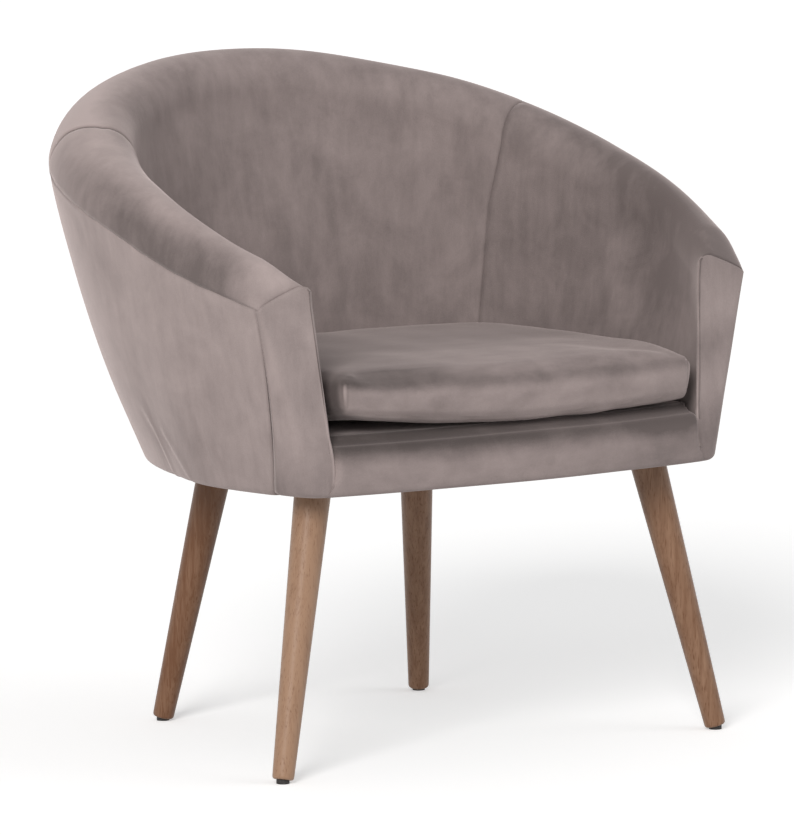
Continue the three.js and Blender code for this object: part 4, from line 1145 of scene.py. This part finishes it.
def cushion_shell(count, depth):
    """Closed cushion from rings, drawn in by a depth so that it can swell, and softer over its front."""
    outline, tip = cushion_outline(count)
    middle = np.array([0.0, outline[:, 1].mean()])
    run = unit(np.roll(outline, -1, 0) - np.roll(outline, 1, 0))
    inward = np.stack([-run[:, 1], run[:, 0]], -1)
    front = ease((tip[1] + 0.03 - outline[:, 1]) / 0.03)
    corner = np.exp(-(((np.abs(outline) - np.abs(tip)) ** 2).sum(-1)) / 0.045**2)
    corner = np.where(outline[:, 1] < 0, corner, 0)
    droop = 0.006 * corner * (outline[:, 0] > 0)
    reach = mix(mix(0.021, 0.038, front), 0.020, corner)
    widest = mix(mix(0.040, 0.032, front), 0.045, corner)
    shoulder = mix(0.0635, 0.0615, front) - droop

    def ring(inset, height):
        height = np.clip(height + 0 * front, depth, CUSHION_HEIGHT - depth)
        flat = outline + inward * np.broadcast_to(inset + depth, front.shape)[:, None]
        return np.concatenate([flat, CUSHION_BOTTOM + height[:, None]], 1)

    def shrunk(share, height):
        points = ring(0 * front, height)
        points[:, :2] = middle + (points[:, :2] - middle) * share
        return points

    rings = [shrunk(share, 0 * front) for share in (0.02, 0.3, 0.55, 0.86)]
    rings += [ring(inset + 0 * front, height) for inset, height in CUSHION_RINGS]
    for turn in np.linspace(0, math.pi / 2, 9):
        height = widest + (shoulder - widest) * math.sin(turn)
        rings.append(ring(-0.0015 + reach * (1 - math.cos(turn)), height))
    for share in (0.78, 0.62, 0.45, 0.27, 0.1, 0.02):
        height = CUSHION_HEIGHT - (CUSHION_HEIGHT - shoulder) * (share / 0.86) ** 2.4
        rings.append(shrunk(share, height))
    return np.concatenate(rings), closed_faces(len(rings), count), tip


def corners(mesh):
    """The mesh's points as rows of x, y and z."""
    co = np.empty(3 * len(mesh.vertices), np.float32)
    mesh.vertices.foreach_get("co", co)
    return co.reshape(-1, 3).astype(float)


def move_corners(mesh, co):
    mesh.vertices.foreach_set("co", co.astype(np.float32).ravel())
    mesh.update()


# How the cushion's cover behaves as cloth while it swells
CUSHION_CLOTH = {
    "quality": 6,
    "mass": 0.3,
    "tension_stiffness": 20,
    "compression_stiffness": 20,
    "shear_stiffness": 10,
    "bending_stiffness": 4,
    "use_pressure": True,
}
SWELL_DRAW = 0.003
SWELL_FRAMES = 20
VOXEL = 0.0045
STROKES = 30
SEAM_WELT = 0.0022


ZIP_HALF, ZIP_PROUD, ZIP_TEETH = 0.006, 0.0006, 0.0004


class TUBCHAIR_OT_cushion(bpy.types.Operator):
    """Fill and sew the loose seat cushion"""

    bl_idname = "tubchair.cushion"
    bl_label = "Make cushion"

    def execute(self, context):
        sizes = settings().cushion
        points, faces, tip = cushion_shell(CUSHION_POINTS, SWELL_DRAW)
        piece = add_object("cushion_velvet", points, faces)
        outward(piece)
        self.make_even(piece)
        self.swell(piece, sizes)
        smooth = piece.modifiers.new("smooth", "SUBSURF")
        smooth.levels = smooth.render_levels = 1
        self.bake_down(piece)
        self.sew(piece, sizes, tip)
        stands_for = ["cushion_cover", "cushion_foam_core"]
        dress(piece, "seat velvet", "cushion", stands_for)
        self.zip(piece)
        return {"FINISHED"}

    def make_even(self, piece):
        remesh = piece.modifiers.new("even", "REMESH")
        remesh.mode = "VOXEL"
        remesh.voxel_size = VOXEL
        remesh.use_smooth_shade = True
        self.bake_down(piece)
        rest = piece.data.attributes.new("rest", "FLOAT_VECTOR", "POINT")
        rest.data.foreach_set("vector", corners(piece.data).astype(np.float32).ravel())

    def bake_down(self, piece):
        """Applies the modifiers to the mesh."""
        graph = bpy.context.evaluated_depsgraph_get()
        final = bpy.data.meshes.new_from_object(piece.evaluated_get(graph))
        piece.modifiers.clear()
        old = piece.data
        piece.data = final
        bpy.data.meshes.remove(old)
        final.name = piece.name
        smoothed(final)

    def swell(self, piece, sizes):
        rest = corners(piece.data)
        cloth = piece.modifiers.new("filling", "CLOTH")
        for key, value in CUSHION_CLOTH.items():
            setattr(cloth.settings, key, value)
        cloth.settings.uniform_pressure_force = sizes.pressure
        cloth.settings.effector_weights.gravity = 0
        cloth.collision_settings.use_collision = False
        cloth.collision_settings.use_self_collision = False
        scene = bpy.context.scene
        for number in range(1, SWELL_FRAMES + 1):
            scene.frame_set(number)
        graph = bpy.context.evaluated_depsgraph_get()
        shown = piece.evaluated_get(graph).to_mesh()
        moved = np.array([v.co for v in shown.vertices])
        piece.evaluated_get(graph).to_mesh_clear()
        piece.modifiers.clear()
        scene.frame_set(1)
        step = moved - rest
        far = np.linalg.norm(step, axis=1, keepdims=True)
        step = step * np.minimum(1, sizes.swell_limit / np.maximum(far, 1e-9))
        move_corners(piece.data, rest + mix(step, self.evened(piece, step), sizes.evenness))

    def evened(self, piece, step):
        """The swelling without its creases: each point takes its neighbours' mean, many times over."""
        pairs = np.empty(2 * len(piece.data.edges), np.int32)
        piece.data.edges.foreach_get("vertices", pairs)
        a, b = pairs.reshape(-1, 2).T
        size = len(step)
        count = np.bincount(np.concatenate([a, b]), minlength=size)[:, None]
        for _ in range(STROKES):
            sums = [np.bincount(a, s[b], size) + np.bincount(b, s[a], size) for s in step.T]
            total = np.stack(sums, -1)
            step = 0.5 * step + 0.5 * total / count
        return step

    def sew(self, piece, sizes, tip):
        """Settles the swollen mesh on the deck, draws in its seams and gives its pile a tone with painted
        light and shade.
        """
        co = corners(piece.data)
        rest = np.empty(co.size, np.float32)
        piece.data.attributes["rest"].data.foreach_get("vector", rest)
        rest = rest.reshape(-1, 3).astype(float)
        piece.data.attributes.remove(piece.data.attributes["rest"])
        height = rest[:, 2] - CUSHION_BOTTOM
        self.settle(co, sizes, tip, np.clip(height / CUSHION_HEIGHT, 0, 1))
        move_corners(piece.data, co)
        edge = self.distance(rest[:, :2], cushion_outline(1400)[0])
        low = np.hypot(edge - 0.0012, height - 0.0052) + 0.02 * (rest[:, 1] > 0.2)
        behind = rest[:, 1] - tip[1] - 0.0028
        sides = [np.hypot(rest[:, 0] - way * (tip[0] - 0.0028), behind) for way in (-1, 1)]
        upright = np.minimum(*sides) + 0.02 * ease((height - 0.050) / 0.006)
        seam = np.minimum(low, upright)
        normals = np.empty(co.size, np.float32)
        piece.data.vertices.foreach_get("normal", normals)
        pull = 0.0012 * gap_valley(seam - 0.0045, SEAM_WELT) - 0.0004 * gap_valley(seam, SEAM_WELT)
        wrinkle = 0.0006 * waves(rest, 0.045, 71) * (1 - gap_valley(seam, 0.01))
        co += normals.reshape(-1, 3) * (wrinkle - pull)[:, None]
        co[:, 2] = np.maximum(co[:, 2], CUSHION_BOTTOM)
        # Painted light and shade: front lighter, sides and top darker (most at the rear and left), and a
        # painted highlight along the seams
        front = ease((tip[1] + 0.02 - rest[:, 1]) / 0.02) * ease((0.056 - height) / 0.022)
        top = ease((height - 0.036) / 0.024) * (1 - front)
        painted_top_shade = -0.08 - 0.9 * ease((rest[:, 1] + 0.3) / 0.2) - 0.45 * ease((-0.06 - rest[:, 0]) / 0.14)
        stroke = mix(mix(-0.95, 0.2, front), painted_top_shade, top) + 0.85 * gap_valley(seam, SEAM_WELT)
        painted_top_darkening = 0.6 * ease((rest[:, 1] + 0.25) / 0.2) + 0.7 * ease((0.0 - rest[:, 0]) / 0.18)
        # Painted shade: a dark line beside the seams, and over the top's rear and left
        shade = 0.35 * gap_valley(seam - 0.004, 0.0016) + top * painted_top_darkening
        add_mask(piece.data, "seam", shade)
        add_mask(piece.data, "stroke", stroke)
        move_corners(piece.data, co)

    def settle(self, co, sizes, tip, share):
        """Lays the cushion on the deck: its left front corner stands off a little and its rear is lower."""
        co[:, 2] = np.maximum(co[:, 2], CUSHION_BOTTOM)
        left = np.clip((0.02 - co[:, 0]) / (tip[0] + 0.02), 0, 1.1)
        ahead = ease((0.16 - (co[:, 1] - tip[1])) / 0.15)
        lift = sizes.corner_lift * left**1.8 + 0.003 * ease((co[:, 0] - 0.1) / 0.12)
        co[:, 2] += lift * ahead * (1 - share) ** 0.8
        rear = 0.002 * ease((co[:, 1] + 0.23) / 0.1) + 0.013 * ease((co[:, 1] - 0.02) / 0.14)
        co[:, 2] -= share * rear

    def distance(self, points, outline):
        """Distance in plan from each point to the outline."""
        found = np.empty(len(points))
        for start in range(0, len(points), 4000):
            part = points[start : start + 4000, None]
            gaps = (part[..., 0] - outline[:, 0]) ** 2 + (part[..., 1] - outline[:, 1]) ** 2
            found[start : start + 4000] = np.sqrt(gaps.min(1))
        return found

    def zip(self, cushion):
        """A closed coil zip in the cushion's back wall."""
        low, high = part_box("cushion_zip")
        mesh = cushion.data
        points, faces = [v.co for v in mesh.vertices], [tuple(f.vertices) for f in mesh.polygons]
        wall = BVHTree.FromPolygons(points, faces)
        rows = []
        for x in np.linspace(low.x, high.x, 120)[::-1]:
            row = []
            for s in np.linspace(-1, 1, 9):
                z = (low.z + high.z) / 2 + s * ZIP_HALF
                hit = wall.ray_cast(Vector((x, 1.0, z)), Vector((0, -1, 0)))[0]
                if hit is None:
                    raise RuntimeError("the zip's line misses the cushion's back wall")
                proud = ZIP_PROUD + ZIP_PROUD * (1 - s * s) + ZIP_TEETH * (abs(s) < 0.3)
                row.append((x, hit.y + proud, z))
            rows.append(row)
        rows = np.array(rows)
        masks = {"seam": np.zeros(rows.shape[:2])}
        piece = cloth_from_rows("cushion_zip_tape", rows, masks, thickness=0.001)
        dress(piece, "black cloth", "cushion", ["cushion_zip"])


LEG_ENDS = {
    "front": ((0.2332, -0.23405), (0.3042, -0.27645)),
    "rear": ((0.1401, 0.0898), (0.1836, 0.1449)),
}
# How much paler or darker each leg is: partly the board's own tone, partly painted light, with the front
# left leg in the key light painted paler
LEG_TONE_AND_LIGHT = {"front_left": 0.5, "front_right": -0.05, "rear_left": -0.32, "rear_right": 0.03}
FOOT_RADIUS, HEAD_RADIUS, END_ROUND, LEG_TOP = 0.0122, 0.0207, 0.003, 0.320
# The glide under each foot: the thickness below the leg, its radius, and the gap on either side
GLIDE_THICK, GLIDE_RADIUS, GLIDE_GAP = 0.0013, 0.0075, 0.0004


class TUBCHAIR_OT_legs(bpy.types.Operator):
    """Turn the four tapered legs"""

    bl_idname = "tubchair.legs"
    bl_label = "Turn legs"

    def execute(self, context):
        for end, (head, foot) in LEG_ENDS.items():
            for side, way in (("left", -1), ("right", 1)):
                name = f"{end}_{side}"
                top = np.array([way * head[0], head[1], UNDERSIDE])
                ground = np.array([way * foot[0], foot[1], 0.0])
                piece = self.turn(f"leg_{name}_turned", top, ground)
                add_mask(piece.data, "board", np.full(len(piece.data.vertices), LEG_TONE_AND_LIGHT[name]))
                dress(piece, "stained beech", "root", [f"leg_{name}"])
        return {"FINISHED"}

    def turn(self, name, head, foot):
        axis = unit(head - foot)
        lean = math.hypot(axis[0], axis[1])
        clear = GLIDE_THICK + GLIDE_GAP + GLIDE_RADIUS * lean / axis[2] + GLIDE_GAP
        start = foot + axis * (clear / axis[2])
        length = np.linalg.norm(head - start)
        side = unit(np.array([-axis[1], axis[0], 0]))
        out = np.cross(axis, side)
        turns = np.linspace(0, 2 * math.pi, 48, endpoint=False)
        circle = np.cos(turns)[:, None] * side + np.sin(turns)[:, None] * out
        rings = [start + circle * r for r in (0.0005, 0.004, FOOT_RADIUS - END_ROUND)]
        for t in np.linspace(0, math.pi / 2, 6)[1:]:
            radius = FOOT_RADIUS - END_ROUND * (1 - math.sin(t))
            rings.append(start + axis * (END_ROUND * (1 - math.cos(t))) + circle * radius)
        for distance in np.linspace(END_ROUND * 1.6, length, 26):
            radius = mix(FOOT_RADIUS, HEAD_RADIUS, distance / length)
            rings.append(start + axis * distance + circle * radius)
        level = rings[-1] + axis * ((LEG_TOP - rings[-1][:, 2]) / axis[2])[:, None]
        inner = start + axis * ((LEG_TOP - start[2]) / axis[2])
        rings += [level, inner + (level - inner) * 0.1]
        piece = add_object(name, np.concatenate(rings), closed_faces(len(rings), len(turns)))
        outward(piece)
        return piece


LEG_HOLE = 0.024


class TUBCHAIR_OT_underside(bpy.types.Operator):
    """Stretch the dust cloth under the seat"""

    bl_idname = "tubchair.underside"
    bl_label = "Stretch dust cloth"

    def execute(self, context):
        low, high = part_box("dust_cover")
        u = 0.12
        inset = EDGE_ROUND + HEM + 0.0004
        at = np.array([u])
        half = place(at, keyed(FOOT_INSETS, at) + inset, np.array([low.z]))[0, 0] - 0.012
        x = np.linspace(-half, half, 30)
        line, _ = border_line(x)
        front = np.stack([x, line + 0.0304], -1)
        outline = rounded_outline(lambda s: keyed(FOOT_INSETS, s) + inset, low.z, u, front)
        turns = np.linspace(0, 2 * math.pi, 36, endpoint=False)
        hole = LEG_HOLE * np.stack([np.cos(turns), np.sin(turns)], -1)[::-1]
        loops = [outline]
        for head, _ in LEG_ENDS.values():
            loops += [hole + np.array([way * head[0], head[1]]) for way in (-1, 1)]
        flat = [[Vector((p[0], p[1], 0)) for p in loop] for loop in loops]
        faces = [tuple(f) for f in tessellate_polygon(flat)]
        plan = np.concatenate(loops)
        points = np.concatenate([plan, np.full((len(plan), 1), low.z)], 1)
        piece = add_object("dust_cloth", points, faces)
        self.face_down(piece)
        thicken(piece, high.z - low.z)
        dress(piece, "black cloth", "root", ["dust_cover"])
        return {"FINISHED"}

    def face_down(self, piece):
        if sum(f.normal.z * f.area for f in piece.data.polygons) > 0:
            piece.data.flip_normals()


# What each solid's name starts with, for each finish; the first that fits is taken
FRAME_FINISHES = {
    "zinc steel": ("seat_spring", "leg_bolt", "leg_plate"),
    "dark rubber": ("leg_glide",),
    "frame timber": ("leg_block", "seat_", "arm_top", "back_top", "arm_front", "arm_middle", "back_post"),
    "plywood": ("arm_lining", "back_lining", "base_board"),
    "stained beech": ("leg_",),
    "cut foam": ("deck_pad", "cushion_foam_core", "arm_foam", "back_foam", "front_border_pad"),
    "black cloth": ("dust_cover", "cushion_zip"),
    "body velvet": ("",),
}


class TUBCHAIR_OT_inner_frame(bpy.types.Operator):
    """Finish the timber, board, springs and fittings inside the chair"""

    bl_idname = "tubchair.inner_frame"
    bl_label = "Finish inner frame"

    def execute(self, context):
        for name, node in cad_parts.items():
            finish = next(f for f, starts in FRAME_FINISHES.items() if name.startswith(starts))
            node.data.materials.clear()
            node.data.materials.append(finish_named(finish))
        return {"FINISHED"}


FLOOR_HALF = 45.0
# The photo's camera: its place round the chair in degrees, what it looks at and from how far
PHOTO_AZIMUTH, PHOTO_ELEVATION = -35.506, 7.348
PHOTO_TARGET, PHOTO_DISTANCE = Vector((0.0395, -0.01255, 0.3547)), 8.1765
PHOTO_HEIGHT, FOCAL_PIXELS, SENSOR = 835, 7063.17, 36
LAMP_DISTANCE = 4


class TUBCHAIR_OT_studio(bpy.types.Operator):
    """Set up the floor, the lights and the camera"""

    bl_idname = "tubchair.studio"
    bl_label = "Set up studio"

    def execute(self, context):
        studio = settings().studio
        scene = bpy.context.scene
        scene.view_settings.view_transform = "Standard"
        self.floor(studio)
        self.world(studio)
        self.sun("key_light", studio.key_strength, -52, 30, 24, (1.0, 0.985, 0.97))
        self.sun("fill_light", studio.fill_strength, 48, 34, 40, (0.97, 0.985, 1.0))
        self.camera(scene)
        return {"FINISHED"}

    def floor(self, studio):
        half = FLOOR_HALF
        points = [(-half, -half, 0), (half, -half, 0), (half, half, 0), (-half, half, 0)]
        floor = add_object("studio_floor", points, [(0, 1, 2, 3)])
        tree = new_material("studio floor")
        cloud = tree.noise(tree.where(), 1.3, 2.0)
        pale = [min(1.0, c * 1.01) for c in studio.floor_color]
        inputs = {
            "Base Color": tree.blend(cloud, (*studio.floor_color, 1), (*pale, 1)),
            "Roughness": 0.9,
            "Specular IOR Level": 0.1,
            "Emission Color": tree.blend(tree.seen(), (0, 0, 0, 1), (1, 1, 1, 1)),
            "Emission Strength": 0.38,
        }
        tree.principled(inputs)
        floor.data.materials.append(finish_named("studio floor"))

    def world(self, studio):
        world = bpy.data.worlds.new("studio room")
        world.use_nodes = True
        world.node_tree.nodes.clear()
        tree = Tree(world.node_tree)
        brighter = tree.math("MULTIPLY", tree.seen(), 1.0 - studio.room_light)
        strength = tree.math("ADD", brighter, studio.room_light)
        background = tree.node("ShaderNodeBackground", {"Color": (1, 1, 1, 1), "Strength": strength})
        tree.node("ShaderNodeOutputWorld", {"Surface": background.outputs[0]})
        bpy.context.scene.world = world

    def aimed(self, name, data, azimuth, elevation, target, distance):
        """Adds a lamp or camera that looks at a target, from an azimuth and an elevation in degrees."""
        a, e = math.radians(azimuth), math.radians(elevation)
        back = Vector((math.sin(a) * math.cos(e), -math.cos(a) * math.cos(e), math.sin(e)))
        made = bpy.data.objects.new(name, data)
        bpy.context.scene.collection.objects.link(made)
        made.rotation_mode = "QUATERNION"
        made.rotation_quaternion = (-back).to_track_quat("-Z", "Y")
        made.location = target + back * distance
        return made

    def sun(self, name, strength, azimuth, elevation, softness, color):
        data = bpy.data.lights.new(name, "SUN")
        data.energy = strength
        data.angle = math.radians(softness)
        data.color = color
        self.aimed(name, data, azimuth, elevation, Vector((0, 0, 0)), LAMP_DISTANCE)

    def camera(self, scene):
        name = "photo_camera"
        data = bpy.data.cameras.new(name)
        data.sensor_width = SENSOR
        data.lens = FOCAL_PIXELS / PHOTO_HEIGHT * SENSOR
        data.clip_end = 200
        view = (PHOTO_AZIMUTH, PHOTO_ELEVATION, PHOTO_TARGET, PHOTO_DISTANCE)
        scene.camera = self.aimed(name, data, *view)


STEPS = (
    TUBCHAIR_OT_finishes,
    TUBCHAIR_OT_inner_frame,
    TUBCHAIR_OT_outside_covers,
    TUBCHAIR_OT_inside_covers,
    TUBCHAIR_OT_arm_facings,
    TUBCHAIR_OT_front_border,
    TUBCHAIR_OT_deck,
    TUBCHAIR_OT_cushion,
    TUBCHAIR_OT_legs,
    TUBCHAIR_OT_underside,
    TUBCHAIR_OT_studio,
)


class TUBCHAIR_PT_panel(bpy.types.Panel):
    """The chair's sizes, colours and steps"""

    bl_idname = "TUBCHAIR_PT_panel"
    bl_label = "Tub chair"
    bl_space_type = "VIEW_3D"
    bl_region_type = "UI"
    bl_category = "Tub chair"

    def draw(self, context):
        chosen = context.scene.tubchair
        for group in (chosen.covers, chosen.cushion, chosen.finishes, chosen.studio):
            box = self.layout.box()
            for key in group.__annotations__:
                box.prop(group, key)
        column = self.layout.column()
        for step in STEPS:
            column.operator(step.bl_idname)


CLASSES = (
    TUBCHAIR_PG_covers,
    TUBCHAIR_PG_cushion,
    TUBCHAIR_PG_finishes,
    TUBCHAIR_PG_studio,
    TUBCHAIR_PG_settings,
    *STEPS,
    TUBCHAIR_PT_panel,
)


def register():
    for cls in CLASSES:
        bpy.utils.register_class(cls)
    bpy.types.Scene.tubchair = PointerProperty(type=TUBCHAIR_PG_settings)


def unregister():
    del bpy.types.Scene.tubchair
    for cls in reversed(CLASSES):
        bpy.utils.unregister_class(cls)


def main():
    register()
    for step in STEPS:
        group, name = step.bl_idname.split(".")
        getattr(getattr(bpy.ops, group), name)()


if __name__ == "__main__":
    main()
